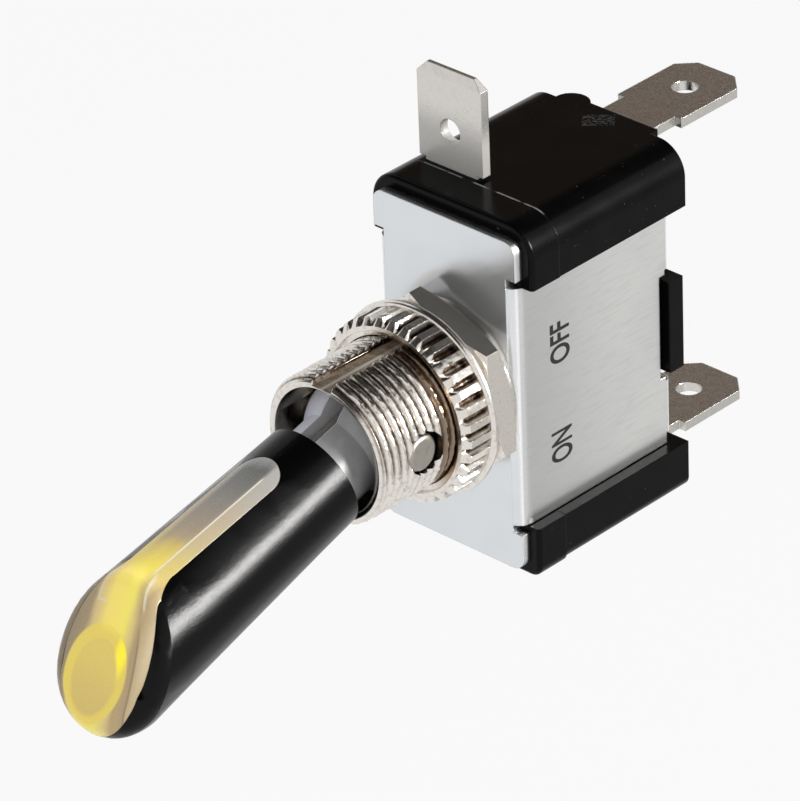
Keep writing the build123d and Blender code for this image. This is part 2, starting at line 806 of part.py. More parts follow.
# LED tab: the same blade standing up at the front, thinned at its tip, with a leg down into the cavity.
led_tab_shoulder = housing_top + led_tab_shoulder_gap
cavity_top = cavity_height / 2
led_leg_end = cavity_top - led_leg_drop
leg_back = led_tab_front + blade
with BuildPart() as led_terminal:
    with BuildSketch(facing(led_tab_front + blade)):
        with Locations((led_tab_x, (led_tab_shoulder + led_tab_tip) / 2)):
            Rectangle(tab_width, led_tab_tip - led_tab_shoulder)
        chamfer(vertices().group_by(Axis.Y)[-1], led_tab_chamfer)
        with Locations((led_tab_x, led_tab_tip - led_tab_hole_from_tip)):
            Circle(tab_hole_radius, mode=Mode.SUBTRACT)
        with Locations((led_tab_x, (led_tab_shoulder + cavity_top) / 2)):
            Rectangle(tab_neck_width, led_tab_shoulder - cavity_top)
        with Locations((led_tab_x, (cavity_top + led_leg_end) / 2)):
            Rectangle(led_leg_width, cavity_top - led_leg_end)
    extrude(amount=blade)
    with BuildSketch(Plane.YZ.offset(led_tab_x - tab_width / 2)):
        with BuildLine():
            Polyline(
                (led_tab_front, led_leg_end),
                (led_tab_front, led_tab_tip - lead_in_length),
                (led_tab_front + lead_in_depth, led_tab_tip),
                (leg_back - lead_in_depth, led_tab_tip),
                (leg_back, led_tab_tip - lead_in_length),
                (leg_back, led_leg_end),
                close=True,
            )
        make_face()
    extrude(amount=tab_width, mode=Mode.INTERSECT)
led_terminal.part.label = "led_terminal"
export_step(led_terminal.part, "parts/led_terminal.step")

# Resistor: a waisted body between its two wires, one to the LED tab's leg and one to the cavity's roof.
body_left = resistor_x - resistor_length / 2
body_right = resistor_x + resistor_length / 2
resistor_height = cavity_top - resistor_drop
resistor_plane = Plane.XY.offset(resistor_height)
with BuildPart() as resistor:
    with BuildSketch(resistor_plane):
        with BuildLine():
            Polyline(
                (body_right, resistor_depth),
                (body_left, resistor_depth),
                (body_left, resistor_depth + resistor_radius),
            )
            ThreePointArc(
                (body_left, resistor_depth + resistor_radius),
                (resistor_x, resistor_depth + resistor_radius - resistor_waist),
                (body_right, resistor_depth + resistor_radius),
            )
            Line((body_right, resistor_depth + resistor_radius), (body_right, resistor_depth))
        make_face()
    revolve(axis=Axis((0, resistor_depth, resistor_height), (1, 0, 0)))
    with BuildLine():
        FilletPolyline(
            (body_left - wire_run, leg_back, resistor_height),
            (body_left - wire_run, resistor_depth, resistor_height),
            (body_left + wire_radius, resistor_depth, resistor_height),
            radius=wire_bend,
        )
    with BuildSketch(facing(leg_back)):
        with Locations((body_left - wire_run, resistor_height)):
            Circle(wire_radius)
    sweep()
    with BuildLine():
        FilletPolyline(
            (body_right + wire_run, resistor_depth, cavity_top),
            (body_right + wire_run, resistor_depth, resistor_height),
            (body_right - wire_radius, resistor_depth, resistor_height),
            radius=wire_bend,
        )
    with BuildSketch(Plane.XY.offset(cavity_top)):
        with Locations((body_right + wire_run, resistor_depth)):
            Circle(wire_radius)
    sweep()
resistor.part.label = "resistor"
export_step(resistor.part, "parts/resistor.step")
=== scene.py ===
"""Looks of a panel toggle switch with a lit lever tip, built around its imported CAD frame.

Sizes inside the classes are in millimetres, in the row frame: +X right seen from the front,
+Y backwards, +Z up, origin on the bushing's axis at the front plate. Meshes are made in metres.
"""

import logging
import math
from dataclasses import dataclass, field
from enum import Enum
from typing import Sequence, Union

import bmesh
import bpy
from mathutils import Matrix, Vector, noise


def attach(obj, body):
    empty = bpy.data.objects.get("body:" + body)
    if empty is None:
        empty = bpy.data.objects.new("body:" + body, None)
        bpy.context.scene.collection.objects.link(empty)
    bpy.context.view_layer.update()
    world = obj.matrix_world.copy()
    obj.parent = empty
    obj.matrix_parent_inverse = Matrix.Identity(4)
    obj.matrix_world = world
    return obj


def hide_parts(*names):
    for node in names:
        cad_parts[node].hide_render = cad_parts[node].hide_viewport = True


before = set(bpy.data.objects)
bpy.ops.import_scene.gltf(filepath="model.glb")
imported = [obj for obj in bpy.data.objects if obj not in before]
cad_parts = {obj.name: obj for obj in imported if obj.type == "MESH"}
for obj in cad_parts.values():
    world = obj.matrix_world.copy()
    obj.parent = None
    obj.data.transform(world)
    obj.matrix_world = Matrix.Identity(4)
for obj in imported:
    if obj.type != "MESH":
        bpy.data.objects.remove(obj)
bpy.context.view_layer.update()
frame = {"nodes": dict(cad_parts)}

LOG = logging.getLogger("toggle_switch")
MM = 0.001

Colour = tuple[float, float, float]
Point = tuple[float, float, float]
Term = Union[float, "Channel"]
RIGHT = (1, 0, 0)
BACK = (0, 1, 0)
UP = (0, 0, 1)
EVEN = (1, 1, 1)


class Body(Enum):
    """The bodies of the switch that new pieces ride on."""

    ROOT = "root"
    KNURLED_NUT = "knurled_nut"
    LEVER = "lever"


class Channel:
    """One socket of a shader tree; arithmetic on it adds Math nodes."""

    def __init__(self, graph: "Tree", socket: bpy.types.NodeSocket) -> None:
        """Wraps a socket.

        Args:
            graph: The shader tree that the socket belongs to.
            socket: An output socket of one of its nodes.
        """
        self.graph = graph
        self.socket = socket

    def _math(self, operation: str, *terms: Term) -> "Channel":
        """Adds one Math node.

        Args:
            operation: The node's operation.
            terms: Its input values or channels, in order.

        Returns:
            The node's result.
        """
        return self.graph.node("ShaderNodeMath", {"operation": operation}, dict(enumerate(terms)))

    def __add__(self, other: Term) -> "Channel":
        """Sum of both."""
        return self._math("ADD", self, other)

    def __radd__(self, other: Term) -> "Channel":
        """Sum of both, the other first."""
        return self._math("ADD", other, self)

    def __sub__(self, other: Term) -> "Channel":
        """This less the other."""
        return self._math("SUBTRACT", self, other)

    def __rsub__(self, other: Term) -> "Channel":
        """The other less this."""
        return self._math("SUBTRACT", other, self)

    def __mul__(self, other: Term) -> "Channel":
        """Product of both."""
        return self._math("MULTIPLY", self, other)

    def __rmul__(self, other: Term) -> "Channel":
        """Product of both, the other first."""
        return self._math("MULTIPLY", other, self)

    def __truediv__(self, other: Term) -> "Channel":
        """This divided by the other."""
        return self._math("DIVIDE", self, other)

    def __abs__(self) -> "Channel":
        """Size without sign."""
        return self._math("ABSOLUTE", self)

    def most(self, other: Term) -> "Channel":
        """The larger of both."""
        return self._math("MAXIMUM", self, other)

    def root(self) -> "Channel":
        """Square root."""
        return self._math("SQRT", self)

    def step(self, low: float, high: float) -> "Channel":
        """Smooth step.

        Args:
            low: Value at which the step starts, at 0.
            high: Value at which it ends, at 1; below low, the step falls.

        Returns:
            0 before the step, 1 after it.
        """
        settings = {"interpolation_type": "SMOOTHSTEP"}
        ends = {1: low, 2: high} if low < high else {1: high, 2: low}
        rise = self.graph.node("ShaderNodeMapRange", settings, {0: self, **ends})
        return rise if low < high else 1 - rise

    def stroke(self, half: float, soft: float) -> "Channel":
        """Mask of a thin line, 1 where this value is near 0."""
        return abs(self).step(half + soft, half)


class Tree:
    """The node tree of a material or world."""

    def __init__(self, owner: Union[bpy.types.Material, bpy.types.World]) -> None:
        """Starts with an empty tree.

        Args:
            owner: The material or world that the tree belongs to.
        """
        owner.use_nodes = True
        self.tree = owner.node_tree
        self.tree.nodes.clear()

    def add(self, kind: str, settings: dict, inputs: dict) -> bpy.types.Node:
        """Adds any node.

        Args:
            kind: The node's type.
            settings: Its settings; "stops" holds a ramp's positions and colours.
            inputs: Values or channels by the socket's place or name.

        Returns:
            The node.
        """
        made = self.tree.nodes.new(kind)
        for key, value in settings.items():
            if key != "stops":
                setattr(made, key, value)
                continue
            elements = made.color_ramp.elements
            while len(elements) < len(value):
                elements.new(0.5)
            for element, (position, colour) in zip(elements, value):
                element.position = position
                element.color = (*colour, 1.0)
        for key, value in inputs.items():
            self.feed(made.inputs[key], value)
        return made

    def node(
        self, kind: str, settings: dict, inputs: dict, output: Union[int, str] = 0
    ) -> Channel:
        """Adds any node and gives one of its outputs.

        Args:
            kind: The node's type.
            settings: Its settings.
            inputs: Values or channels by the socket's place or name.
            output: The socket to return.

        Returns:
            That output, ready for arithmetic.
        """
        return Channel(self, self.add(kind, settings, inputs).outputs[output])

    def feed(self, socket: bpy.types.NodeSocket, value: object) -> None:
        """Sets or links one input.

        Args:
            socket: The input socket.
            value: A number, colour, vector or channel for it.
        """
        if isinstance(value, Channel):
            self.tree.links.new(value.socket, socket)
        elif socket.type == "RGBA" and len(value) == 3:
            socket.default_value = (*value, 1.0)
        else:
            socket.default_value = value

    def seen(self) -> Channel:
        """Adds the mask of camera, glossy and transmission rays.

        Returns:
            The mask, 1 for those rays.
        """
        names = ("Is Camera Ray", "Is Glossy Ray", "Is Transmission Ray")
        camera, glossy, through = (
            self.node("ShaderNodeLightPath", {}, {}, name) for name in names
        )
        return camera.most(glossy).most(through)


class Graph(Tree):
    """The node tree of one material, with its Principled shader."""

    def __init__(self, name: str) -> None:
        """Starts a material.

        Args:
            name: Name of the material.
        """
        self.material = bpy.data.materials.new(name)
        super().__init__(self.material)
        self.shader = self.add("ShaderNodeBsdfPrincipled", {}, {})
        self.add("ShaderNodeOutputMaterial", {}, {0: Channel(self, self.shader.outputs[0])})
        place = self.node("ShaderNodeTexCoord", {}, {}, "Object")
        self.place = self.scaled(place, (1 / MM,) * 3)

    def scaled(self, vector: Channel, factors: Point) -> Channel:
        """Vector with each part times its own factor."""
        return self.node("ShaderNodeVectorMath", {"operation": "MULTIPLY"}, {0: vector, 1: factors})

    def along(self, direction: Sequence[float], start: Sequence[float] = (0, 0, 0)) -> Channel:
        """Distance along a direction.

        Args:
            direction: Vector in the row frame; its length scales the distance.
            start: Point from which it counts, in millimetres.

        Returns:
            The distance in millimetres.
        """
        settings = {"operation": "DOT_PRODUCT"}
        product = self.node(
            "ShaderNodeVectorMath", settings, {0: self.place, 1: tuple(direction)}, "Value"
        )
        return product - Vector(direction).dot(Vector(start))

    def away(self, factors: Point, start: Sequence[float] = (0, 0, 0)) -> Channel:
        """Distance from a line along one axis.

        Args:
            factors: 0 for the axis that the line runs along, 1 for the others.
            start: Point that the line goes through, in millimetres.

        Returns:
            The distance in millimetres.
        """
        inputs = {0: self.place, 1: tuple(-part for part in start)}
        moved = self.node("ShaderNodeVectorMath", {"operation": "ADD"}, inputs)
        flat = self.scaled(moved, factors)
        return self.node("ShaderNodeVectorMath", {"operation": "LENGTH"}, {0: flat}, "Value")

    def girth(self) -> Channel:
        """Distance from the bushing's axis in millimetres."""
        return self.away((1, 0, 1))

    def noise(
        self, size: float, detail: float = 2.0, stretch: Point = EVEN, rough: float = 0.5
    ) -> Channel:
        """Soft random value over the surface.

        Args:
            size: Width of a patch in millimetres.
            detail: Number of finer layers.
            stretch: Factor on each axis before the noise is read.
            rough: Strength of the finer layers.

        Returns:
            Values around 0.5.
        """
        place = self.scaled(self.place, stretch)
        inputs = {"Vector": place, "Scale": 1 / size, "Detail": detail, "Roughness": rough}
        return self.node("ShaderNodeTexNoise", {}, inputs)

    def ramp(self, value: Term, stops: Sequence[tuple[float, Colour]]) -> Channel:
        """Colour by value.

        Args:
            value: What the ramp is read with.
            stops: Positions from 0 to 1 with their colours.

        Returns:
            The colour.
        """
        return self.node("ShaderNodeValToRGB", {"stops": stops}, {0: value})

    def blend(self, factor: Term, first: object, second: object) -> Channel:
        """Mixes two colours.

        Args:
            factor: Share of the second.
            first: A colour or a channel of one.
            second: A colour or a channel of one.

        Returns:
            The mixed colour.
        """
        inputs = {0: factor, 6: first, 7: second}
        return self.node("ShaderNodeMix", {"data_type": "RGBA"}, inputs, 2)

    def relief(self, height: Term, depth: float, edge: float = 0.0) -> None:
        """Sets the surface's fine relief.

        Args:
            height: Height pattern, about 0 to 1.
            depth: Height of the pattern in millimetres.
            edge: Radius by which edges look rounded, in millimetres.
        """
        inputs = {"Height": height, "Distance": depth * MM, "Strength": 1.0}
        if edge:
            inputs["Normal"] = self.node("ShaderNodeBevel", {"samples": 6}, {"Radius": edge * MM})
        self.put("Normal", self.node("ShaderNodeBump", {}, inputs))

    def put(self, socket: str, value: object) -> None:
        """Sets or links one socket of the Principled shader."""
        self.feed(self.shader.inputs[socket], value)


@dataclass(frozen=True)
class SheetSteel:
    """Zinc plated sheet, finely scratched on its sides; its front is painted bluish and its sides
    neutral and darker towards the front, for the light each face catches, with a painted highlight
    along the bends.
    """

    name: str = "zinc_sheet"
    front: Colour = (0.75, 0.775, 0.80)
    side_front: Colour = (0.60, 0.60, 0.60)
    side_rear: Colour = (0.80, 0.80, 0.79)
    scratch: Colour = (0.40, 0.40, 0.41)
    cloud: Colour = (0.52, 0.55, 0.60)
    speck: Colour = (0.9, 0.9, 0.9)
    bend: Colour = (1.0, 1.0, 1.0)
    roughness: float = 0.21
    grain: float = 0.0010
    grain_size: float = 0.13
    cloud_size: float = 4.5
    wave_size: float = 1.8
    scratch_size: float = 0.22
    speck_size: float = 0.2
    side_starts: float = 0.5
    side_reach: float = 13.0
    bend_inner: float = 6.5
    bend_outer: float = 6.8
    bend_front: float = 0.45
    bend_rear: float = 0.62
    edge: float = 0.12

    def material(self) -> bpy.types.Material:
        """Builds the material.

        Returns:
            The finished material.
        """
        graph = Graph(self.name)
        back = graph.along(BACK)
        side = back.step(self.side_starts - 0.3, self.side_starts)
        clouds = graph.noise(self.cloud_size, 2)
        grain = graph.noise(self.grain_size, 3, EVEN, 0.6)
        waves = graph.noise(self.wave_size, 2)
        streaks = graph.noise(self.scratch_size, 3, (1, 0.10, 1), 0.6)
        specks = graph.noise(self.speck_size, 2).step(0.70, 0.76)
        # Painted light: one finish in two colours, the front bluish and the sides darker towards the
        # front, for the light each face catches.
        flank = graph.blend(
            back.step(self.side_starts, self.side_reach), self.side_front, self.side_rear
        )
        tone = graph.blend(side, self.front, flank)
        tone = graph.blend(0.16 * streaks.step(0.45, 0.7) * side, tone, self.scratch)
        tone = graph.blend(0.10 * clouds.step(0.4, 0.7), tone, self.cloud)
        # Painted highlight: white along the bends, and less metallic there so that the white shows.
        bend = back.step(self.bend_rear, self.bend_front) * back.step(0.0, 0.06)
        bend = bend * graph.along(RIGHT).step(self.bend_inner, self.bend_outer)
        tone = graph.blend(bend, tone, self.bend)
        graph.put("Base Color", graph.blend(0.5 * specks, tone, self.speck))
        graph.put("Metallic", 1 - 0.14 * (1 - side) - 0.3 * bend)
        graph.put("Roughness", self.roughness + 0.10 * side + 0.10 * (grain - 0.5))
        graph.relief(grain + side * streaks + 2.5 * waves, self.grain, self.edge)
        return graph.material


@dataclass(frozen=True)
class PlatedMetal:
    """Plated metal: mirror-like, with a hard fine grain and thin stains."""

    name: str
    colour: Colour
    stain: Colour
    roughness: float = 0.16
    grain: float = 0.004
    grain_size: float = 0.09
    edge: float = 0.08
    stained: float = 0.5

    def tone(self, graph: Graph, patches: Channel) -> Channel:
        """Colour over the surface.

        Args:
            graph: The material's tree.
            patches: Soft random patches.

        Returns:
            The colour.
        """
        return graph.blend(self.stained * patches.step(0.48, 0.70), self.colour, self.stain)

    def shine(self, graph: Graph) -> Term:
        """Share of bare metal over the surface.

        Args:
            graph: The material's tree.

        Returns:
            The share, 1 for metal alone.
        """
        return 1.0

    def material(self) -> bpy.types.Material:
        """Builds the material.

        Returns:
            The finished material.
        """
        graph = Graph(self.name)
        grain = graph.noise(self.grain_size, 3, EVEN, 0.65)
        patches = graph.noise(3.5 * self.grain_size, 3, EVEN, 0.6)
        roughness = self.roughness + 0.16 * (grain - 0.5) + 0.06 * patches.step(0.4, 0.7)
        graph.put("Base Color", self.tone(graph, patches))
        graph.put("Metallic", self.shine(graph))
        graph.put("Roughness", roughness)
        graph.relief(grain, self.grain, self.edge)
        return graph.material


@dataclass(frozen=True)
class GroovedNickel(PlatedMetal):
    """Nickel plate with grime and painted shade in its valleys round the bushing's axis, the shade
    strongest on top.
    """

    bore: float = 5.1
    root: float = 5.68
    clean: float = 5.88
    front: float = -13.2
    valley_shade_and_grime: Colour = (0.11, 0.066, 0.038)
    valley_shade_fades: tuple[float, float] = (-3, 2.5)

    def tone(self, graph: Graph, patches: Channel) -> Channel:
        """Colour over the surface, with grime and painted shade in the valleys.

        Args:
            graph: The material's tree.
            patches: Soft random patches.

        Returns:
            The colour.
        """
        # Painted shade standing in for occlusion, with grime: brown in the valleys, stronger higher
        # up and broken into patches.
        girth = graph.girth()
        depth = girth.step(self.clean, self.root) * girth.step(self.bore, self.bore + 0.1)
        behind = graph.along(BACK).step(self.front, self.front + 0.15)
        high = 0.15 + 0.85 * graph.along(UP).step(*self.valley_shade_fades)
        worn = 0.7 + 0.3 * patches.step(0.35, 0.6)
        plate = super().tone(graph, patches)
        return graph.blend(depth * behind * high * worn, plate, self.valley_shade_and_grime)


@dataclass(frozen=True)
class KnurlNickel(GroovedNickel):
    """Nickel plate of the dress nut, with painted brown shade on the right of its dished front."""

    dish: float = 6.55
    dish_shade: Colour = (0.36, 0.235, 0.13)

    def tone(self, graph: Graph, patches: Channel) -> Channel:
        """Colour over the surface, with painted shade on the dish.

        Args:
            graph: The material's tree.
            patches: Soft random patches.

        Returns:
            The colour.
        """
        # Painted shade: brown on the right of the dish, where the thread shades it and is reflected.
        band = graph.girth().step(self.dish + 0.04, self.dish)
        right = graph.along((1, 0, 0.5)).step(0.5, 3.5)
        return graph.blend(0.85 * band * right, super().tone(graph, patches), self.dish_shade)


@dataclass(frozen=True)
class ThreadNickel(GroovedNickel):
    """Nickel plate of the bushing: brown keyway floor, painted shade in the cross hole and a painted
    brown shade ring at the rear of the thread.
    """

    keyway_half: float = 1.0
    keyway_floor: float = 5.25
    floor_light: Colour = (0.36, 0.29, 0.22)
    floor_dark: Colour = (0.22, 0.16, 0.11)
    floor_line: Colour = (0.66, 0.61, 0.54)
    hole_back: float = -8.58
    hole_height: float = -0.10
    hole_radius: float = 1.66
    hole_starts: float = 3.0
    hole_shade: Colour = (0.012, 0.009, 0.007)
    ring_front: float = -7.0
    ring_rear: float = -5.6
    ring_shade: Colour = (0.15, 0.095, 0.055)
    ring_highlight: Colour = (0.44, 0.31, 0.18)

    def groove(self, graph: Graph) -> Channel:
        """Mask of the keyway's floor.

        Args:
            graph: The material's tree.

        Returns:
            The mask, 1 on the floor.
        """
        across = abs(graph.along(RIGHT)).step(self.keyway_half - 0.02, self.keyway_half - 0.05)
        height = graph.along(UP)
        above = height.step(self.keyway_floor - 0.1, self.keyway_floor)
        return across * above * height.step(self.keyway_floor + 0.06, self.keyway_floor + 0.03)

    def floor(self, graph: Graph, patches: Channel) -> Channel:
        """Colour of the keyway's floor.

        Args:
            graph: The material's tree.
            patches: Soft random patches.

        Returns:
            The colour, with a pale line along the middle.
        """
        middle = abs(graph.along(RIGHT)).step(0.22, 0.08)
        stained = graph.blend(patches.step(0.3, 0.7), self.floor_light, self.floor_dark)
        return graph.blend(0.8 * middle, stained, self.floor_line)

    def hole(self, graph: Graph) -> Channel:
        """Mask of the painted shade inside the cross hole, on its right.

        Args:
            graph: The material's tree.

        Returns:
            The mask, 1 inside.
        """
        distance = graph.away((0, 1, 1), (0, self.hole_back, self.hole_height))
        inside = distance.step(self.hole_radius + 0.06, self.hole_radius + 0.02)
        return inside * graph.along(RIGHT).step(self.hole_starts, self.hole_starts + 0.2)

    def ring(self, graph: Graph) -> tuple[Channel, Channel]:
        """Painted brown shade ring at the rear of the thread, with a lighter painted highlight line
        round its middle.

        Args:
            graph: The material's tree.

        Returns:
            Its mask and its colour.
        """
        back = graph.along(BACK)
        mask = back.step(self.ring_front, self.ring_front + 0.25)
        mask = mask * back.step(self.ring_rear + 0.2, self.ring_rear)
        # Painted shade only on the right and away from the bottom, with a lighter painted highlight
        # line round its middle.
        faded = graph.along(RIGHT).step(-1.5, 1.5) * graph.along(UP).step(-5.5, -3.5)
        lighter = (back - (self.ring_front + self.ring_rear) / 2).stroke(0.1, 0.12)
        tone = graph.blend(0.7 * lighter, self.ring_shade, self.ring_highlight)
        return 0.85 * mask * faded, tone

    def tone(self, graph: Graph, patches: Channel) -> Channel:
        """Colour over the surface.

        Args:
            graph: The material's tree.
            patches: Soft random patches.

        Returns:
            The colour.
        """
        tone = super().tone(graph, patches)
        tone = graph.blend(self.groove(graph), tone, self.floor(graph, patches))
        # Painted shade inside the cross hole.
        tone = graph.blend(self.hole(graph), tone, self.hole_shade)
        # Painted brown shade ring at the rear of the thread.
        mask, brown = self.ring(graph)
        return graph.blend(mask, tone, brown)

    def shine(self, graph: Graph) -> Term:
        """Share of bare metal, less on the keyway's floor.

        Args:
            graph: The material's tree.

        Returns:
            The share, 1 for metal alone.
        """
        return 1 - 0.75 * self.groove(graph)


@dataclass(frozen=True)
class TabTin(PlatedMetal):
    """Tin plate of the LED's tab, matt at its foot."""

    foot_top: float = 20.5
    foot_full: float = 17.5

    def shine(self, graph: Graph) -> Term:
        """Share of bare metal, less at the foot.

        Args:
            graph: The material's tree.

        Returns:
            The share, 1 for metal alone.
        """
        return 1 - 0.92 * graph.along(UP).step(self.foot_top, self.foot_full)


@dataclass(frozen=True)
class MouldedPlastic:
    """Moulded plastic with a fine skin."""

    name: str
    colour: Colour
    shade: Colour
    roughness: float = 0.36
    grain: float = 0.002
    grain_size: float = 0.12
    gloss: float = 0.5
    edge: float = 0.1

    def marked(self, graph: Graph, tone: Channel, grain: Channel) -> tuple[Channel, Channel]:
        """Colour and relief after the moulding's marks; this one has none.

        Args:
            graph: The material's tree.
            tone: The plain colour.
            grain: The plain relief.

        Returns:
            Both as they come out.
        """
        return tone, grain

    def material(self) -> bpy.types.Material:
        """Builds the material.

        Returns:
            The finished material.
        """
        graph = Graph(self.name)
        grain = graph.noise(self.grain_size, 3, EVEN, 0.65)
        patches = graph.noise(2.6, 4)
        plain_tone = graph.blend(patches.step(0.35, 0.7), self.colour, self.shade)
        tone, height = self.marked(graph, plain_tone, grain)
        graph.put("Base Color", tone)
        graph.put("Roughness", self.roughness + 0.14 * (grain - 0.5) + 0.08 * (patches - 0.5))
        graph.put("Specular IOR Level", self.gloss)
        graph.relief(height, self.grain, self.edge)
        return graph.material


@dataclass(frozen=True)
class HousingPlastic(MouldedPlastic):
    """Black plastic of the housing, with specks, a scuffed patch on top and a painted highlight
    along the seam.
    """

    scuff: Point = (0.225, 16.895, 15.0)
    scuff_long: Point = (0.772, 0.635, 0)
    scuff_short: Point = (0.664, -0.748, 0)
    long_half: float = 1.3
    short_half: float = 0.92
    coarse_size: float = 0.25
    speck_size: float = 0.30
    seam: float = 3.8
    scuff_tone: Colour = (0.05, 0.05, 0.05)
    speck_tone: Colour = (0.10, 0.10, 0.10)
    seam_highlight: Colour = (0.22, 0.22, 0.22)

    def marked(self, graph: Graph, tone: Channel, grain: Channel) -> tuple[Channel, Channel]:
        """Colour and relief with specks, scuff and the seam's painted highlight.

        Args:
            graph: The material's tree.
            tone: The plain colour.
            grain: The plain relief.

        Returns:
            Both as they come out.
        """
        along = abs(graph.along(self.scuff_long, self.scuff))
        across = abs(graph.along(self.scuff_short, self.scuff))
        top = graph.along(UP, self.scuff).step(-0.3, -0.1)
        patch = along.step(self.long_half, self.long_half - 0.15)
        patch = patch * across.step(self.short_half, self.short_half - 0.12) * top
        coarse = graph.noise(self.coarse_size, 3)
        tone = graph.blend(patch * coarse.step(0.42, 0.62), tone, self.scuff_tone)
        specks = graph.noise(self.speck_size, 2).step(0.745, 0.77)
        tone = graph.blend(specks, tone, self.speck_tone)
        # Painted highlight: a broken pale line along the seam on top.
        line = (graph.along(BACK) - self.seam).stroke(0.05, 0.05)
        broken = graph.noise(0.9, 3).step(0.42, 0.56)
        tone = graph.blend(line * top * broken, tone, self.seam_highlight)
        return tone, grain + 6.0 * coarse * patch


@dataclass(frozen=True)
class LeverAxes:
    """The lever's own directions at rest, from its pin, with the slanted face of its tip."""

    pivot: Point = (0.0, -8.9, 0.0)
    outwards: Point = (0.0, -0.965016, -0.262189)
    upwards: Point = (0.0, -0.262189, 0.965016)
    face_centre: float = 28.6
    face_angle: float = 46.0

    def face_middle(self) -> Vector:
        """Middle of the slanted face."""
        return Vector(self.pivot) + self.face_centre * Vector(self.outwards)

    def face_normal(self) -> Vector:
        """Direction that the slanted face looks in."""
        angle = math.radians(self.face_angle)
        return math.sin(angle) * Vector(self.outwards) + math.cos(angle) * Vector(self.upwards)

    def face_slant(self) -> Vector:
        """Direction up the slanted face."""
        angle = math.radians(self.face_angle)
        return math.sin(angle) * Vector(self.upwards) - math.cos(angle) * Vector(self.outwards)


@dataclass(frozen=True)
class Oval:
    """An oval on the slanted face: its middle, half sizes and soft edge."""

    left: float
    up: float
    wide: float
    tall: float
    soft: float

    def mask(self, side: Channel, lift: Channel) -> Channel:
        """Mask of the oval.

        Args:
            side: Distance to the right.
            lift: Distance up the face.

        Returns:
            The mask, 1 inside.
        """
        across = (side - self.left) / self.wide
        along = (lift - self.up) / self.tall
        return (across * across + along * along).root().step(1 + self.soft, 1 - self.soft)


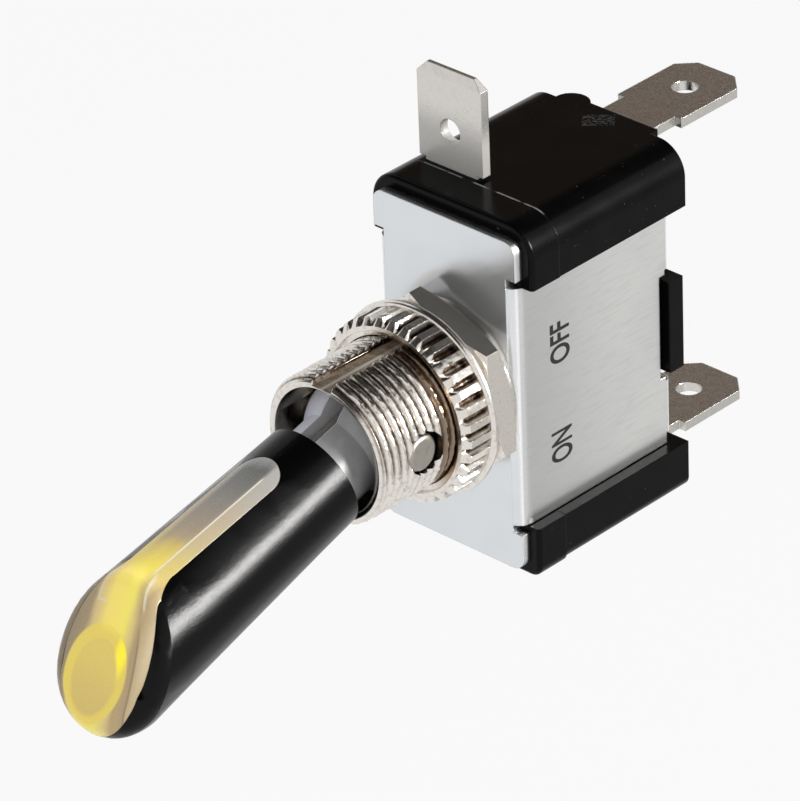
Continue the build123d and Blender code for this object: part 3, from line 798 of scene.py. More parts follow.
@dataclass(frozen=True)
class FrostedLens:
    """Frosted clear strip and slanted tip over the amber LED, seen blurred through them, with
    painted highlight lines and spot, painted shade along the crease and low on the face, and a
    painted glow.
    """

    name: str = "frosted_lens"
    axes: LeverAxes = LeverAxes()
    strip: tuple = (
        (9.0, (0.36, 0.35, 0.34)),
        (10.4, (0.155, 0.16, 0.15)),
        (12.3, (0.21, 0.205, 0.19)),
        (14.6, (0.30, 0.27, 0.235)),
        (17.5, (0.40, 0.325, 0.235)),
        (18.6, (0.47, 0.375, 0.235)),
        (19.6, (0.68, 0.53, 0.18)),
        (21.0, (0.86, 0.69, 0.16)),
        (22.2, (0.97, 0.80, 0.13)),
        (24.6, (0.94, 0.76, 0.18)),
        (26.5, (0.36, 0.28, 0.18)),
        (33.0, (0.40, 0.31, 0.19)),
    )
    band: tuple = (
        (9.0, (0.46, 0.45, 0.43)),
        (12.0, (0.48, 0.45, 0.40)),
        (15.5, (0.55, 0.46, 0.33)),
        (18.5, (0.62, 0.51, 0.29)),
        (21.0, (0.76, 0.61, 0.22)),
        (24.5, (0.86, 0.68, 0.25)),
    )
    face: tuple = (
        (-4.2, (0.36, 0.29, 0.20)),
        (-2.75, (0.44, 0.34, 0.21)),
        (-2.2, (0.80, 0.64, 0.30)),
        (-1.3, (1.0, 0.80, 0.24)),
        (0.6, (1.0, 0.88, 0.20)),
        (1.5, (0.86, 0.68, 0.28)),
        (2.1, (0.60, 0.45, 0.24)),
        (2.9, (0.74, 0.58, 0.35)),
        (3.5, (0.90, 0.73, 0.47)),
    )
    line: Colour = (0.90, 0.84, 0.72)
    shadow: Colour = (0.52, 0.38, 0.19)
    oval: Colour = (0.93, 0.72, 0.19)
    rim: Colour = (0.80, 0.61, 0.20)
    ring: Colour = (0.98, 0.77, 0.17)
    spot: Colour = (1.0, 0.93, 0.05)
    gleam: Colour = (2.4, 1.9, 0.1)
    crease: Colour = (0.34, 0.25, 0.15)
    outer_oval: Oval = Oval(-0.62, -0.4, 2.88, 3.7, 0.035)
    inner_oval: Oval = Oval(-0.58, -0.7, 1.95, 2.7, 0.05)
    halo_oval: Oval = Oval(-0.58, -0.7, 2.12, 2.9, 0.05)
    gleam_oval: Oval = Oval(1.20, 1.7, 0.55, 1.6, 0.55)
    line_side: float = 0.95
    corner_side: float = -2.35
    corner_lift: float = 4.75
    glow: float = 0.16
    grain_size: float = 0.16
    grain: float = 0.004
    edge: float = 0.15

    def by_place(self, graph: Graph, value: Channel, table: tuple) -> Channel:
        """Colour read from a table of places and colours.

        Args:
            graph: The material's tree.
            value: The place.
            table: Places in rising order, each with its colour.

        Returns:
            The colour.
        """
        low, high = table[0][0], table[-1][0]
        stops = [((at - low) / (high - low), colour) for at, colour in table]
        return graph.ramp((value - low) / (high - low), stops)

    def strip_colour(self, graph: Graph, side: Channel, reach: Channel) -> Channel:
        """Colour of the strip, with a painted highlight line along its right edge.

        Args:
            graph: The material's tree.
            side: Distance to the right.
            reach: Distance outwards from the pin.

        Returns:
            The colour.
        """
        streaks = graph.noise(0.8, 3, (1, 0.16, 0.35))
        wavy = reach + 1.1 * (streaks - 0.5) + 0.25 * side
        beyond = side.step(self.line_side - 0.25, self.line_side + 0.15)
        left_edge = side.step(-1.1, -1.8)
        # Painted highlight line along the strip's right edge.
        upper_line = (side - self.line_side).stroke(0.035, 0.06) * reach.step(10.6, 11.2)
        tone = self.by_place(graph, wavy, self.strip)
        tone = graph.blend(beyond, tone, self.by_place(graph, reach, self.band))
        tone = graph.blend(0.75 * left_edge, tone, self.by_place(graph, reach + 1.5, self.band))
        return graph.blend(0.85 * upper_line, tone, self.line)

    def face_colour(
        self, graph: Graph, side: Channel, lift: Channel, bend: Channel, fold: Channel
    ) -> Channel:
        """Colour of the slanted face without its ovals, with painted highlight lines, painted shadow
        low on its right and painted shade along the crease.

        Args:
            graph: The material's tree.
            side: Distance to the right.
            lift: Distance up the face.
            bend: Distance from the fold's line.
            fold: Mask of the fold.

        Returns:
            The colour.
        """
        haze = graph.noise(1.3, 2)
        low_fade = lift.step(3.4, -1.5) * side.step(1.6, 2.2)
        # Painted highlight lines: a corner at the face's upper left and one falling down its right.
        hook = (side - self.corner_side).stroke(0.03, 0.16) * lift.step(4.4, 4.8)
        foot = (lift - self.corner_lift).stroke(0.03, 0.16)
        foot = foot * side.step(-2.5, -2.3) * side.step(-1.4, -1.7)
        falling = (side - 1.55 - 0.3 * (6.8 - lift)).stroke(0.05, 0.10) * lift.step(5.0, 5.6)
        lines = (0.45 * hook.most(foot)).most(0.8 * falling)
        tone = self.by_place(graph, side + 0.5 * (haze - 0.5), self.face)
        tone = graph.blend(0.45 * low_fade, tone, self.shadow)
        tone = graph.blend(lines, tone, self.line)
        # Painted shade: a dark line along the crease and a darker band on its left.
        tone = graph.blend(0.75 * fold, tone, self.crease)
        return graph.blend(0.35 * bend.step(-0.9, -0.1) * bend.step(0.05, 0.0), tone, self.crease)

    def material(self) -> bpy.types.Material:
        """Builds the material.

        Returns:
            The finished material.
        """
        graph = Graph(self.name)
        axes = self.axes
        side = graph.along(RIGHT)
        reach = graph.along(axes.outwards, axes.pivot)
        lift = graph.along(axes.face_slant(), axes.face_middle())
        on_face = graph.along(axes.face_normal(), axes.face_middle()).step(-1.5, -0.5)
        bend = side - 2.85 + 0.12 * lift + 0.014 * (lift * lift)
        fold = bend.stroke(0.03, 0.14) * lift.step(4.3, 2.6) * lift.step(-3.9, -2.6)
        outer = self.outer_oval.mask(side, lift)
        inner = self.inner_oval.mask(side, lift)
        halo = self.halo_oval.mask(side, lift)
        gleam = self.gleam_oval.mask(side, lift) * (1 - inner)

        face = self.face_colour(graph, side, lift, bend, fold)
        face = graph.blend(outer, face, self.ring)
        # Painted highlight spot on the outer oval's upper right.
        face = graph.blend(outer * gleam, face, self.spot)
        face = graph.blend(0.5 * halo, face, self.rim)
        face = graph.blend(inner, face, graph.blend(lift.step(-3.5, 2.0), self.rim, self.oval))
        colour = graph.blend(on_face, self.strip_colour(graph, side, reach), face)
        # Painted glow: emission brighter up the middle of the face and on the highlight spot.
        column = side.step(-1.9, -1.0) * side.step(1.4, 0.6) * lift.step(2.4, 3.4) * on_face
        glow = graph.blend(0.45 * column, colour, self.gleam)
        glow = graph.blend(outer * gleam * on_face, glow, self.gleam)
        grain = graph.noise(self.grain_size, 3)
        graph.put("Base Color", colour)
        graph.put("Emission Color", glow)
        graph.put("Emission Strength", self.glow)
        graph.put("Roughness", 0.27 + 0.10 * (grain - 0.5))
        graph.put("Specular IOR Level", 0.3)
        graph.put("Subsurface Weight", 0.12)
        graph.put("Subsurface Radius", (1.0, 0.7, 0.3))
        graph.put("Subsurface Scale", 0.6 * MM)
        graph.relief(grain + 2.0 * outer - 1.5 * inner - 2.0 * fold, self.grain, self.edge)
        return graph.material


@dataclass(frozen=True)
class GreyCore:
    """Grey moulding of the lever's core, with painted light on its left shoulder and in the leads'
    slot.
    """

    name: str = "grey_core"
    axes: LeverAxes = LeverAxes()
    colour: Colour = (0.43, 0.435, 0.44)
    shade: Colour = (0.36, 0.365, 0.37)
    shoulder: Colour = (0.80, 0.81, 0.90)
    slot: Colour = (0.75, 0.75, 0.76)
    slot_half: float = 0.82
    roughness: float = 0.36
    grain: float = 0.002
    edge: float = 0.1

    def material(self) -> bpy.types.Material:
        """Builds the material.

        Returns:
            The finished material.
        """
        graph = Graph(self.name)
        side = graph.along(RIGHT)
        height = graph.along(self.axes.upwards, self.axes.pivot)
        grain = graph.noise(0.15, 3)
        cloud = graph.noise(1.4, 2)
        tone = graph.blend(cloud.step(0.35, 0.7), self.colour, self.shade)
        # Painted light: the left shoulder paler and bluish.
        shoulder = side.step(-0.2, -1.0) * height.step(0.5, 2.0)
        tone = graph.blend(shoulder, tone, self.shoulder)
        # Painted light: the leads' slot paler where it lies in shade.
        slot = abs(side).step(self.slot_half + 0.05, self.slot_half) * height.step(0.8, 1.2)
        graph.put("Base Color", graph.blend(slot, tone, self.slot))
        graph.put("Roughness", self.roughness + 0.14 * (grain - 0.5))
        graph.relief(grain, self.grain, self.edge)
        return graph.material


@dataclass(frozen=True)
class BlackSleeve:
    """Black moulded sleeve with a leathery fine grain; the lens's edge shows through on its left."""

    name: str = "black_sleeve"
    axes: LeverAxes = LeverAxes()
    colour: Colour = (0.0016, 0.0016, 0.0016)
    edge_tone: Colour = (0.34, 0.275, 0.19)
    edge_side: float = -1.9
    edge_depth: float = -1.6
    roughness: float = 0.21
    gloss: float = 0.15
    grain: float = 0.014
    grain_size: float = 0.17
    fine_size: float = 0.06
    edge: float = 0.03

    def material(self) -> bpy.types.Material:
        """Builds the material.

        Returns:
            The finished material.
        """
        graph = Graph(self.name)
        side = graph.along(RIGHT)
        depth = graph.along(self.axes.face_normal(), self.axes.face_middle())
        near_face = depth.step(self.edge_depth, self.edge_depth + 0.3)
        lens_edge = near_face * side.step(self.edge_side, self.edge_side - 0.1)
        grain = graph.noise(self.grain_size, 3, EVEN, 0.6)
        fine = graph.noise(self.fine_size, 2)
        graph.put("Base Color", graph.blend(lens_edge, self.colour, self.edge_tone))
        graph.put("Roughness", self.roughness + 0.14 * (grain - 0.5))
        graph.put("Specular IOR Level", self.gloss)
        graph.relief(grain + 0.4 * fine, self.grain, self.edge)
        return graph.material


@dataclass(frozen=True)
class AmberResin:
    """Clear amber resin of the LED."""

    name: str = "amber_led"
    colour: Colour = (0.9, 0.66, 0.06)
    streak: Colour = (0.95, 0.8, 0.2)
    glow: float = 0.5

    def material(self) -> bpy.types.Material:
        """Builds the material.

        Returns:
            The finished material.
        """
        graph = Graph(self.name)
        streaks = graph.noise(0.5, 2)
        tone = graph.blend(streaks.step(0.3, 0.8), self.colour, self.streak)
        graph.put("Base Color", tone)
        graph.put("Emission Color", tone)
        graph.put("Emission Strength", self.glow)
        graph.put("Roughness", 0.12 + 0.1 * streaks)
        graph.put("Transmission Weight", 0.3)
        graph.relief(streaks, 0.002)
        return graph.material


@dataclass(frozen=True)
class BandedLacquer:
    """Tan lacquer of the resistor with painted value bands."""

    name: str = "resistor_lacquer"
    colour: Colour = (0.55, 0.40, 0.24)
    shade: Colour = (0.48, 0.34, 0.2)
    wire: Colour = (0.74, 0.72, 0.68)
    centre: float = -0.6
    bands: tuple = (
        (-1.25, (0.50, 0.13, 0.02)),
        (-0.65, (0.12, 0.03, 0.01)),
        (-0.05, (0.12, 0.03, 0.01)),
        (1.15, (0.55, 0.38, 0.08)),
    )
    band_width: float = 0.26
    reach: float = 2.02

    def material(self) -> bpy.types.Material:
        """Builds the material.

        Returns:
            The finished material.
        """
        graph = Graph(self.name)
        across = graph.along(RIGHT, (self.centre, 0, 0))
        grain = graph.noise(0.2, 3)
        colour = graph.blend(grain.step(0.3, 0.8), self.colour, self.shade)
        for at, paint in self.bands:
            mask = (across - at).stroke(self.band_width / 2 - 0.02, 0.04)
            colour = graph.blend(mask, colour, paint)
        ends = abs(across).step(self.reach - 0.02, self.reach + 0.02)
        graph.put("Base Color", graph.blend(ends, colour, self.wire))
        graph.put("Metallic", ends)
        graph.put("Roughness", 0.28 + 0.1 * grain)
        graph.put("Coat Weight", 0.3)
        graph.relief(grain, 0.004, 0.05)
        return graph.material


@dataclass(frozen=True)
class Ink:
    """Thin dark print."""

    name: str = "print_ink"
    colour: Colour = (0.018, 0.018, 0.020)
    worn: Colour = (0.04, 0.04, 0.04)

    def material(self) -> bpy.types.Material:
        """Builds the material.

        Returns:
            The finished material.
        """
        graph = Graph(self.name)
        wear = graph.noise(0.15, 3)
        graph.put("Base Color", graph.blend(wear.step(0.5, 0.85), self.colour, self.worn))
        graph.put("Roughness", 0.5 + 0.15 * wear)
        graph.put("Specular IOR Level", 0.15)
        graph.relief(wear, 0.001)
        return graph.material


ZINC = SheetSteel()
WARM = (0.76, 0.725, 0.68)
WARM_STAIN = (0.50, 0.42, 0.33)
NICKEL = PlatedMetal("nickel_plate", WARM, WARM_STAIN, 0.17, 0.003, 0.11, 0.06, 0.45)
KNURL_NICKEL = KnurlNickel(
    "knurled_nickel", WARM, WARM_STAIN, 0.13, 0.009, 0.13, 0.04, 0.40,
    bore=6.6, root=6.98, clean=7.24, front=-5.6, valley_shade_fades=(-9, -5),
)
THREAD_NICKEL = ThreadNickel(
    "thread_nickel", WARM, WARM_STAIN, 0.13, 0.011, 0.13, 0.03, 0.45
)
STEEL = (0.36, 0.335, 0.30)
STEEL_STAIN = (0.20, 0.18, 0.15)
STEEL_PIN = PlatedMetal("ground_steel", STEEL, STEEL_STAIN, 0.34, 0.02, 0.22, 0.05)
GREY = (0.66, 0.64, 0.61)
GREY_STAIN = (0.58, 0.55, 0.51)
TIN = PlatedMetal("tin_plate", GREY, GREY_STAIN, 0.26, 0.001, 0.12, 0.10, 0.3)
LED_TIN = TabTin("led_tab_tin", GREY, GREY_STAIN, 0.22, 0.001, 0.12, 0.10, 0.3)
BRASS = PlatedMetal(
    "contact_brass", (0.80, 0.60, 0.30), (0.66, 0.46, 0.22), 0.28, 0.003, 0.12, 0.08
)
SILVER = PlatedMetal(
    "contact_silver", (0.86, 0.85, 0.83), (0.72, 0.70, 0.68), 0.22, 0.002, 0.10, 0.06
)
SPRING = PlatedMetal(
    "spring_wire", (0.55, 0.55, 0.56), (0.42, 0.42, 0.43), 0.22, 0.001, 0.10, 0.02
)
HOUSING = HousingPlastic(
    "black_housing", (0.0016, 0.0016, 0.0017), (0.0026, 0.0026, 0.0026), 0.20, 0.0015, 0.14, 0.09
)
NYLON = MouldedPlastic("white_nylon", (0.78, 0.78, 0.74), (0.72, 0.72, 0.67), 0.40, 0.002, 0.15)


@dataclass
class Coverings:
    """Which finish dresses each CAD node that stays in view."""

    finishes: dict = field(
        default_factory=lambda: {
            ZINC: ("frame",),
            HOUSING: ("base", "front_cover"),
            NICKEL: ("hex_nut",),
            STEEL_PIN: ("pivot_pin",),
            GreyCore(): ("lever_core",),
            BlackSleeve(): ("lever_sleeve",),
            FrostedLens(): ("lens",),
            AmberResin(): ("led",),
            TIN: ("upper_terminal", "lower_terminal", "led_lead_a", "led_lead_b"),
            LED_TIN: ("led_terminal",),
            BRASS: ("rocker", "saddle"),
            SILVER: ("rocker_contact", "upper_contact", "lower_stop"),
            SPRING: ("plunger_spring",),
            NYLON: ("plunger",),
            BandedLacquer(): ("resistor",),
        }
    )

    def dress(self, nodes: dict) -> None:
        """Gives every node its finish.

        Args:
            nodes: The CAD nodes by name.
        """
        for finish, names in self.finishes.items():
            material = finish.material()
            for name in names:
                nodes[name].data.materials.clear()
                nodes[name].data.materials.append(material)
                LOG.info("%s wears %s", name, finish.name)


def mesh_object(name: str, shape: bmesh.types.BMesh, smooth: float = 30.0) -> bpy.types.Object:
    """Turns a mesh in millimetres into an object of the scene.

    Args:
        name: Name of the piece.
        shape: The mesh, freed afterwards.
        smooth: Angle up to which neighbouring faces shade as one, in degrees.

    Returns:
        The object, in metres.
    """
    bmesh.ops.scale(shape, vec=(MM,) * 3, verts=shape.verts)
    bmesh.ops.recalc_face_normals(shape, faces=shape.faces)
    mesh = bpy.data.meshes.new(name)
    shape.to_mesh(mesh)
    shape.free()
    made = bpy.data.objects.new(name, mesh)
    bpy.context.scene.collection.objects.link(made)
    mesh.shade_smooth()
    if smooth < 180:
        mesh.set_sharp_from_angle(angle=math.radians(smooth))
    return made


def cut(target: bpy.types.Object, *tools: bpy.types.Object) -> None:
    """Takes tools out of a mesh.

    Args:
        target: The piece to cut.
        tools: Closed meshes, removed afterwards.
    """
    for tool in tools:
        step = target.modifiers.new("cut", "BOOLEAN")
        step.operation = "DIFFERENCE"
        step.solver = "EXACT"
        step.object = tool
    graph = bpy.context.evaluated_depsgraph_get()
    mesh = bpy.data.meshes.new_from_object(target.evaluated_get(graph))
    target.modifiers.clear()
    target.data = mesh
    for tool in tools:
        bpy.data.objects.remove(tool)


def box_tool(name: str, low: Point, high: Point) -> bpy.types.Object:
    """Closed block for cutting.

    Args:
        name: Name of the block.
        low: Its lowest corner.
        high: Its highest corner.

    Returns:
        The block.
    """
    shape = bmesh.new()
    size = Vector(high) - Vector(low)
    middle = (Vector(high) + Vector(low)) / 2
    place = Matrix.Translation(middle) @ Matrix.Diagonal((*size, 1))
    bmesh.ops.create_cube(shape, size=1, matrix=place)
    return mesh_object(name, shape)


def rod_tool(name: str, radius: float, start: Point, end: Point, sides: int) -> bpy.types.Object:
    """Closed round rod for cutting.

    Args:
        name: Name of the rod.
        radius: Its radius.
        start: Middle of one end.
        end: Middle of the other end.
        sides: Number of flats round it.

    Returns:
        The rod.
    """
    shape = bmesh.new()
    run = Vector(end) - Vector(start)
    place = Matrix.Translation((Vector(start) + Vector(end)) / 2)
    turn = run.to_track_quat("Z", "Y").to_matrix().to_4x4()
    bmesh.ops.create_cone(
        shape, cap_ends=True, segments=sides, radius1=radius, radius2=radius,
        depth=run.length, matrix=place @ turn,
    )
    return mesh_object(name, shape)


def around(radius: float, place: float, angle: float) -> Point:
    """Point at a radius and angle round the bushing's axis."""
    return (radius * math.cos(angle), place, radius * math.sin(angle))


def skin(shape: bmesh.types.BMesh, rings: list[list[bmesh.types.BMVert]]) -> None:
    """Joins rings of vertices into a closed surface, the last ring to the first.

    Args:
        shape: The mesh that holds the rings.
        rings: The rings, all with the same number of vertices.
    """
    for first, second in zip(rings, rings[1:] + rings[:1]):
        for index in range(len(first)):
            after = (index + 1) % len(first)
            shape.faces.new((first[index], first[after], second[after], second[index]))


@dataclass
class Bushing:
    """Threaded bushing with its keyway, cross hole, collar and the lip behind the plate."""

    crest: float = 6.0
    thread_depth: float = 0.36
    pitch: float = 0.75
    mouth: float = -13.3
    thread_end: float = -0.7
    collar_front: float = -0.4
    collar_radius: float = 6.8
    spigot_radius: float = 5.4
    plate: float = 0.8
    lip_radius: float = 5.75
    lip_end: float = 1.3
    bore: float = 5.0
    keyway_half: float = 1.0
    keyway_floor: float = 5.25
    pivot_depth: float = 8.9
    pin_hole: float = 1.5
    worn_hole: float = 1.66
    worn_back: float = 0.32
    worn_down: float = 0.10
    crest_share: float = 0.16
    ragged: float = 0.06
    coarse: float = 4.0
    fine: float = 9.0
    fine_share: float = 0.6
    low_wear: float = 0.35
    wear_spread: float = 1.4
    edge_round: float = 0.08
    mouth_deep: float = 0.25
    mouth_wide: float = 0.24
    lip_round: float = 0.25
    start_drop: float = 0.5
    start_slope: float = 1.1
    turns_round: int = 200
    rows_per_turn: int = 12

    def radius_at(self, place: float, turn: float) -> float:
        """Radius of the thread.

        Args:
            place: Position along the axis.
            turn: Share of a full turn round the axis.

        Returns:
            The radius there, with the start of the thread chamfered.
        """
        phase = (place / self.pitch + turn) % 1.0
        slope = max(0.0, abs(phase - 0.5) - self.crest_share) / (0.5 - self.crest_share)
        angle = 2 * math.pi * turn
        worn = 1 - self.low_wear * min(1.0, max(0.0, -math.sin(angle) * self.wear_spread))
        radius = self.crest - self.thread_depth * slope * worn
        spot = Vector((math.cos(angle) * self.crest, place, math.sin(angle) * self.crest))
        rough = noise.noise(spot * self.coarse) + self.fine_share * noise.noise(spot * self.fine)
        chamfer = self.crest - self.start_drop + (place - self.mouth) * self.start_slope
        return min(radius + self.ragged * rough * (1 - slope) - self.ragged / 2, chamfer)

    def profile(self) -> list[tuple[float, float | None]]:
        """Outline from the bore's mouth round to its end.

        Returns:
            Place along the axis and radius of each row, None for a row of the thread.
        """
        step = self.pitch / self.rows_per_turn
        rows = int((self.thread_end - self.mouth) / step)
        valley = self.crest - self.thread_depth
        outline: list[tuple[float, float | None]] = [
            (self.mouth + self.mouth_deep, self.bore),
            (self.mouth + self.edge_round, self.bore + self.edge_round),
            (self.mouth, self.bore + self.mouth_wide),
        ]
        outline += [(self.mouth + index * step, None) for index in range(rows + 1)]
        outline += [
            (self.thread_end + 0.02, valley),
            (self.collar_front, valley),
            (self.collar_front, self.collar_radius - self.edge_round),
            (self.collar_front + self.edge_round, self.collar_radius),
            (0.0, self.collar_radius),
            (0.0, self.spigot_radius),
            (self.plate, self.spigot_radius),
            (self.plate, self.lip_radius),
            (self.plate + self.lip_round, self.lip_radius),
            (self.lip_end, self.bore + self.lip_round),
            (self.lip_end, self.bore),
        ]
        return outline

    def build(self) -> bpy.types.Object:
        """Makes the bushing with its keyway and cross hole, for its CAD node.

        Returns:
            The piece.
        """
        shape = bmesh.new()
        rings = []
        for place, fixed in self.profile():
            ring = []
            for index in range(self.turns_round):
                turn = index / self.turns_round
                radius = fixed if fixed is not None else self.radius_at(place, turn)
                ring.append(shape.verts.new(around(radius, place, 2 * math.pi * turn)))
            rings.append(ring)
        skin(shape, rings)
        made = mesh_object("bushing_thread", shape, 38)
        tall = self.crest + 1
        cut(
            made,
            box_tool(
                "keyway_tool",
                (-self.keyway_half, self.mouth - 1, self.keyway_floor),
                (self.keyway_half, self.collar_front, tall),
            ),
            rod_tool(
                "cross_hole_tool", self.pin_hole,
                (-tall, -self.pivot_depth, 0), (tall, -self.pivot_depth, 0), 48,
            ),
            rod_tool(
                "worn_hole_tool", self.worn_hole,
                (self.bore, self.worn_back - self.pivot_depth, -self.worn_down),
                (tall, self.worn_back - self.pivot_depth, -self.worn_down), 48,
            ),
        )
        made.data.materials.clear()
        made.data.materials.append(THREAD_NICKEL.material())
        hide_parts("bushing")
        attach(made, Body.ROOT.value)
        LOG.info("bushing: %d faces", len(made.data.polygons))
        return made


@dataclass
class TipShoulders:
    """Thin black corners of the sleeve that run from the strip's edges out to the slanted face."""

    axes: LeverAxes = LeverAxes()
    starts: float = 21.6
    ends: float = 23.7
    strip_half: float = 2.045
    reach_out: float = 3.5
    root: tuple[float, float] = (5.85, 4.34)
    tip: tuple[float, float] = (28.2, 5.18)
    swell_starts: float = 0.2
    swell: float = 0.12
    lift: float = 0.015
    sink: float = 0.15
    buried: float = 0.2
    steps: int = 16
    across: int = 6

    def radius_at(self, reach: float) -> float:
        """Radius of the sleeve's cone, whose root and tip are pairs of reach and radius."""
        share = (reach - self.root[0]) / (self.tip[0] - self.root[0])
        return self.root[1] + share * (self.tip[1] - self.root[1])

    def row(
        self, shape: bmesh.types.BMesh, hand: int, reach: float
    ) -> list[bmesh.types.BMVert]:
        """Adds one row of vertices across a corner.

        Args:
            shape: The mesh.
            hand: 1 for the right corner, -1 for the left.
            reach: The row's distance from the pin.

        Returns:
            The vertices from the strip outwards, each upper one followed by its lower one.
        """
        outwards, upwards = Vector(self.axes.outwards), Vector(self.axes.upwards)
        grown = max(0.0, reach - self.starts - self.swell_starts)
        inner = self.strip_half + self.swell * grown + self.swell * grown * grown
        made = []
        for part in range(self.across + 1):
            side = inner + (self.reach_out - inner) * part / self.across
            dip = max(0.0, part / self.across - 0.5) * self.buried
            for level in (self.lift - dip, -self.sink):
                radius = self.radius_at(reach) + level
                height = math.sqrt(radius * radius - side * side)
                spot = Vector(self.axes.pivot) + outwards * reach + upwards * height
                made.append(shape.verts.new((hand * side, spot.y, spot.z)))
        return made

    def build(self, finish: bpy.types.Material) -> None:
        """Makes both corners.

        Args:
            finish: The sleeve's material.
        """
        length = self.ends - self.starts
        reaches = [self.starts + length * index / self.steps for index in range(self.steps + 1)]
        for name, hand in (("tip_shoulder_left", -1), ("tip_shoulder_right", 1)):
            shape = bmesh.new()
            rows = [self.row(shape, hand, reach) for reach in reaches]
            for first, second in zip(rows, rows[1:]):
                for top in range(0, 2 * self.across, 2):
                    low = top + 1
                    shape.faces.new((first[top], first[top + 2], second[top + 2], second[top]))
                    shape.faces.new((first[low], second[low], second[low + 2], first[low + 2]))
                shape.faces.new((first[0], second[0], second[1], first[1]))
                shape.faces.new((first[-2], first[-1], second[-1], second[-2]))
            for row in (rows[0], rows[-1]):
                for top in range(0, 2 * self.across, 2):
                    shape.faces.new((row[top], row[top + 1], row[top + 3], row[top + 2]))
            made = mesh_object(name, shape, 50)
            made.data.materials.append(finish)
            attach(made, Body.LEVER.value)
            LOG.info("%s: %d faces", name, len(made.data.polygons))


@dataclass
class KnurledNut:
    """Round dress nut: straight teeth in front, a smooth rim behind them and a dished front face."""

    rear: float = -2.8
    rim_front: float = -3.5
    front: float = -6.0
    dish_floor: float = -5.65
    bore: float = 6.05
    dish: float = 6.5
    root: float = 6.86
    tip: float = 7.44
    chamfer: float = 0.5
    rim: float = 7.8
    rim_round: float = 0.33
    teeth: int = 35
    first_tooth: float = 0.29
    columns: tuple = (
        (0.0, 0.0), (0.05, 0.0), (0.10, 0.0), (0.21, 0.5), (0.32, 1.0), (0.43, 1.0),
        (0.54, 1.0), (0.65, 1.0), (0.76, 1.0), (0.87, 0.5), (0.98, 0.0),
    )
    ragged: float = 0.025
    ragged_scale: float = 30.0
    neck_drop: float = 0.06
    rim_steps: int = 6
    tooth_steps: int = 12

    def rows(self) -> list[tuple[float, float, float]]:
        """Outline from the bore's rear round to the dish.

        Returns:
            Place along the axis, radius in a gap and radius on a tooth of each row.
        """
        outline = [(self.rear, self.bore, self.bore)]
        for index in range(self.rim_steps + 1):
            angle = math.pi * index / self.rim_steps
            middle = (self.rear + self.rim_front) / 2
            place = middle + (self.rear - middle) * math.cos(angle)
            radius = self.rim - self.rim_round * (1 - math.sin(angle))
            outline.append((place, radius, radius))
        outline.append((self.rim_front, self.root, self.tip))
        length = self.rim_front - self.front - self.chamfer
        for index in range(1, self.tooth_steps + 1):
            place = self.rim_front - length * index / self.tooth_steps
            outline.append((place, self.root, self.tip))
        neck = self.tip - self.chamfer
        halfway = neck + self.chamfer / 2
        outline += [
            (self.front + self.chamfer / 2, min(self.root, halfway), halfway),
            (self.front, neck - self.neck_drop, neck - self.neck_drop),
            (self.front, self.dish, self.dish),
            (self.dish_floor, self.dish, self.dish),
            (self.dish_floor, self.bore, self.bore),
        ]
        return outline

    def build(self) -> bpy.types.Object:
        """Makes the nut, for its CAD node.

        Returns:
            The piece.
        """
        shape = bmesh.new()
        rings = []
        for place, low, high in self.rows():
            ring = []
            for tooth in range(self.teeth):
                for share, full in self.columns:
                    angle = 2 * math.pi * (tooth + share + self.first_tooth) / self.teeth
                    radius = low + (high - low) * full
                    if high > low:
                        spot = Vector((math.cos(angle), place / self.rim, math.sin(angle)))
                        radius += self.ragged * noise.noise(spot * self.ragged_scale)
                    ring.append(shape.verts.new(around(radius, place, angle)))
            rings.append(ring)
        skin(shape, rings)
        made = mesh_object("dress_nut", shape, 32)
        made.data.materials.append(KNURL_NICKEL.material())
        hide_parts("knurled_nut")
        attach(made, Body.KNURLED_NUT.value)
        LOG.info("dress nut: %d faces", len(made.data.polygons))
        return made


@dataclass
class SidePrint:
    """The two words beside the lever's positions."""

    face: float = 7.0
    words: tuple = (("OFF", 3.6, 5.75, 2.1, 5.6), ("ON", 3.5, 5.8, -6.35, -3.6))
    lift: float = 0.004
    thickness: float = 0.003
    bolder: float = 0.02

    def build(self) -> None:
        """Lays each word on the bracket's side, reading upwards."""
        ink = Ink().material()
        for text, front, back, low, high in self.words:
            curve = bpy.data.curves.new(f"word_{text.lower()}", "FONT")
            curve.body = text
            curve.extrude = self.thickness / 2 * MM
            curve.offset = self.bolder
            made = bpy.data.objects.new(f"word_{text.lower()}", curve)
            bpy.context.scene.collection.objects.link(made)
            curve.size = 1.0
            bpy.context.view_layer.update()
            wide, tall = made.dimensions.x, made.dimensions.y
            corner = Vector(made.bound_box[0])
            along, up = (high - low) * MM / wide, (back - front) * MM / tall
            turn = Matrix(((0, 0, 1), (0, -1, 0), (1, 0, 0))).to_4x4()
            place = Matrix.Translation(((self.face + self.lift) * MM, back * MM, low * MM))
            shift = Matrix.Translation((-corner.x * along, -corner.y * up, 0))
            made.matrix_world = place @ turn @ shift @ Matrix.Diagonal((along, up, 1, 1))
            curve.materials.append(ink)
            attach(made, Body.ROOT.value)
            LOG.info("word %s", text)


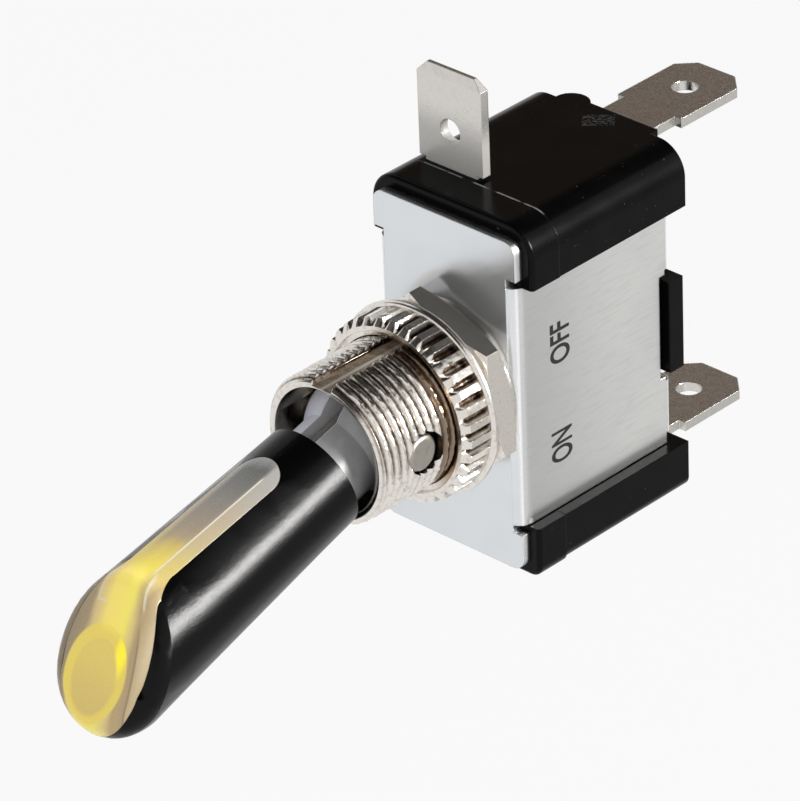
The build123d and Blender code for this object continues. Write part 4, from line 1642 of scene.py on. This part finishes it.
@dataclass
class Studio:
    """Camera, pale surroundings, soft lamps and dark cards that shape the metal's reflections."""

    camera_place: Point = (266.390, -276.731, 224.369)
    right: Point = (0.7278, 0.6849, -0.0354)
    up: Point = (-0.3254, 0.3903, 0.8613)
    back: Point = (0.6037, -0.6153, 0.5070)
    focal_pixels: float = 6000.0
    image_height: float = 801.0
    sensor: float = 36.0
    pale: float = 0.93
    floor_pale: float = 0.978
    surround: float = 0.5
    floor_height: float = -110.0
    floor_reach: float = 4000.0
    floor_tone: float = 0.85
    floor_share: float = 0.9
    lamps: tuple = (
        ("key", (0.87, 0.35, 0.35), 620.0, 180.0, 24.0),
        ("left", (-0.34, 0.30, 0.85), 620.0, 300.0, 1.0),
        ("front", (0.10, -0.80, 0.55), 800.0, 600.0, 0.5),
    )
    cards: tuple = (
        ("over_back", (-0.12, 0.47, 0.88), 420.0, 540.0, 485.0, (0.040, 0.032, 0.026)),
        ("over_front", (-0.12, -0.50, 0.86), 420.0, 540.0, 485.0, (0.040, 0.036, 0.032)),
        ("left_back", (-0.66, 0.60, 0.45), 400.0, 230.0, 190.0, (0.17, 0.13, 0.10)),
        ("left_front", (-0.66, -0.56, 0.50), 400.0, 330.0, 220.0, (0.10, 0.10, 0.10)),
        ("low", (0.60, 0.63, -0.49), 160.0, 200.0, 200.0, (0.62, 0.62, 0.61)),
        ("streak", (0.87, 0.35, 0.35), 620.0, 190.0, 185.0, (82.0, 82.0, 80.0)),
    )

    def camera(self) -> None:
        """Sets the camera at the photograph's viewing angle."""
        data = bpy.data.cameras.new("camera")
        data.sensor_width = self.sensor
        data.lens = self.focal_pixels * self.sensor / self.image_height
        data.clip_start = 0.01
        data.clip_end = 10.0
        made = bpy.data.objects.new("camera", data)
        columns = Matrix((self.right, self.up, self.back)).transposed()
        made.matrix_world = Matrix.Translation(Vector(self.camera_place) * MM) @ columns.to_4x4()
        bpy.context.scene.collection.objects.link(made)
        bpy.context.scene.camera = made

    def surroundings(self) -> None:
        """Pale world for the eye and for reflections, a plain level for diffuse light."""
        world = bpy.data.worlds.new("surroundings")
        tree = Tree(world)
        level = tree.node("ShaderNodeBackground", {}, {0: (self.surround,) * 3})
        shown = tree.node("ShaderNodeBackground", {}, {0: (self.pale,) * 3})
        mix = tree.node("ShaderNodeMixShader", {}, {0: tree.seen(), 1: level, 2: shown})
        tree.add("ShaderNodeOutputWorld", {}, {0: mix})
        bpy.context.scene.world = world

    def floor(self) -> None:
        """Plain pale floor that keeps the shadow."""
        shape = bmesh.new()
        place = Matrix.Translation((0, 0, self.floor_height))
        bmesh.ops.create_grid(
            shape, x_segments=1, y_segments=1, size=self.floor_reach, matrix=place
        )
        made = mesh_object("floor", shape, 180)
        material = bpy.data.materials.new("floor_paper")
        tree = Tree(material)
        matt = tree.node("ShaderNodeBsdfDiffuse", {}, {0: (self.floor_tone,) * 3})
        glow = tree.node("ShaderNodeEmission", {}, {0: (self.floor_pale,) * 3})
        share = self.floor_share * tree.seen()
        mix = tree.node("ShaderNodeMixShader", {}, {0: share, 1: matt, 2: glow})
        tree.add("ShaderNodeOutputMaterial", {}, {0: mix})
        made.data.materials.append(material)

    def lamp(
        self, name: str, towards: Point, distance: float, size: float, level: float
    ) -> None:
        """Sets one square soft lamp.

        Args:
            name: Name of the lamp.
            towards: Direction from the switch to the lamp.
            distance: How far away it stands.
            size: Width of its square face.
            level: Brightness of its face, 1 for white.
        """
        data = bpy.data.lights.new(f"lamp_{name}", "AREA")
        data.shape = "SQUARE"
        data.size = size * MM
        data.energy = level * math.pi * (size * MM) ** 2
        made = bpy.data.objects.new(f"lamp_{name}", data)
        aim = Vector(towards).normalized()
        turn = aim.to_track_quat("Z", "Y").to_matrix().to_4x4()
        made.matrix_world = Matrix.Translation(aim * distance * MM) @ turn
        made.visible_glossy = False
        bpy.context.scene.collection.objects.link(made)

    def card(
        self, name: str, towards: Point, distance: float, width: float, height: float, tone: Colour
    ) -> None:
        """Sets one card that only reflections see.

        Args:
            name: Name of the card.
            towards: Direction from the switch to the card.
            distance: How far away it stands.
            width: Its level side.
            height: Its other side.
            tone: Its colour as reflections see it.
        """
        shape = bmesh.new()
        aim = Vector(towards).normalized()
        turn = aim.to_track_quat("Z", "Y").to_matrix().to_4x4()
        place = Matrix.Translation(aim * distance) @ turn @ Matrix.Diagonal((width, height, 1, 1))
        bmesh.ops.create_grid(shape, x_segments=1, y_segments=1, size=0.5, matrix=place)
        made = mesh_object(f"card_{name}", shape, 180)
        material = bpy.data.materials.new(f"card_{name}")
        tree = Tree(material)
        glow = tree.node("ShaderNodeEmission", {}, {0: tone})
        tree.add("ShaderNodeOutputMaterial", {}, {0: glow})
        made.data.materials.append(material)
        made.visible_camera = False
        made.visible_diffuse = False
        made.visible_shadow = False
        made.visible_transmission = False

    def build(self) -> None:
        """Sets the whole studio."""
        scene = bpy.context.scene
        scene.view_settings.view_transform = "Standard"
        self.camera()
        self.surroundings()
        self.floor()
        for lamp in self.lamps:
            self.lamp(*lamp)
        for card in self.cards:
            self.card(*card)
        LOG.info("studio: %d lamps, %d cards", len(self.lamps), len(self.cards))


def main() -> None:
    """Builds the studio, dresses the CAD nodes and makes the finer pieces."""
    logging.basicConfig(level=logging.INFO, format="%(name)s: %(message)s")
    Studio().build()
    Coverings().dress(frame["nodes"])
    Bushing().build()
    KnurledNut().build()
    TipShoulders().build(frame["nodes"]["lever_sleeve"].data.materials[0])
    SidePrint().build()


if __name__ == "__main__":
    main()
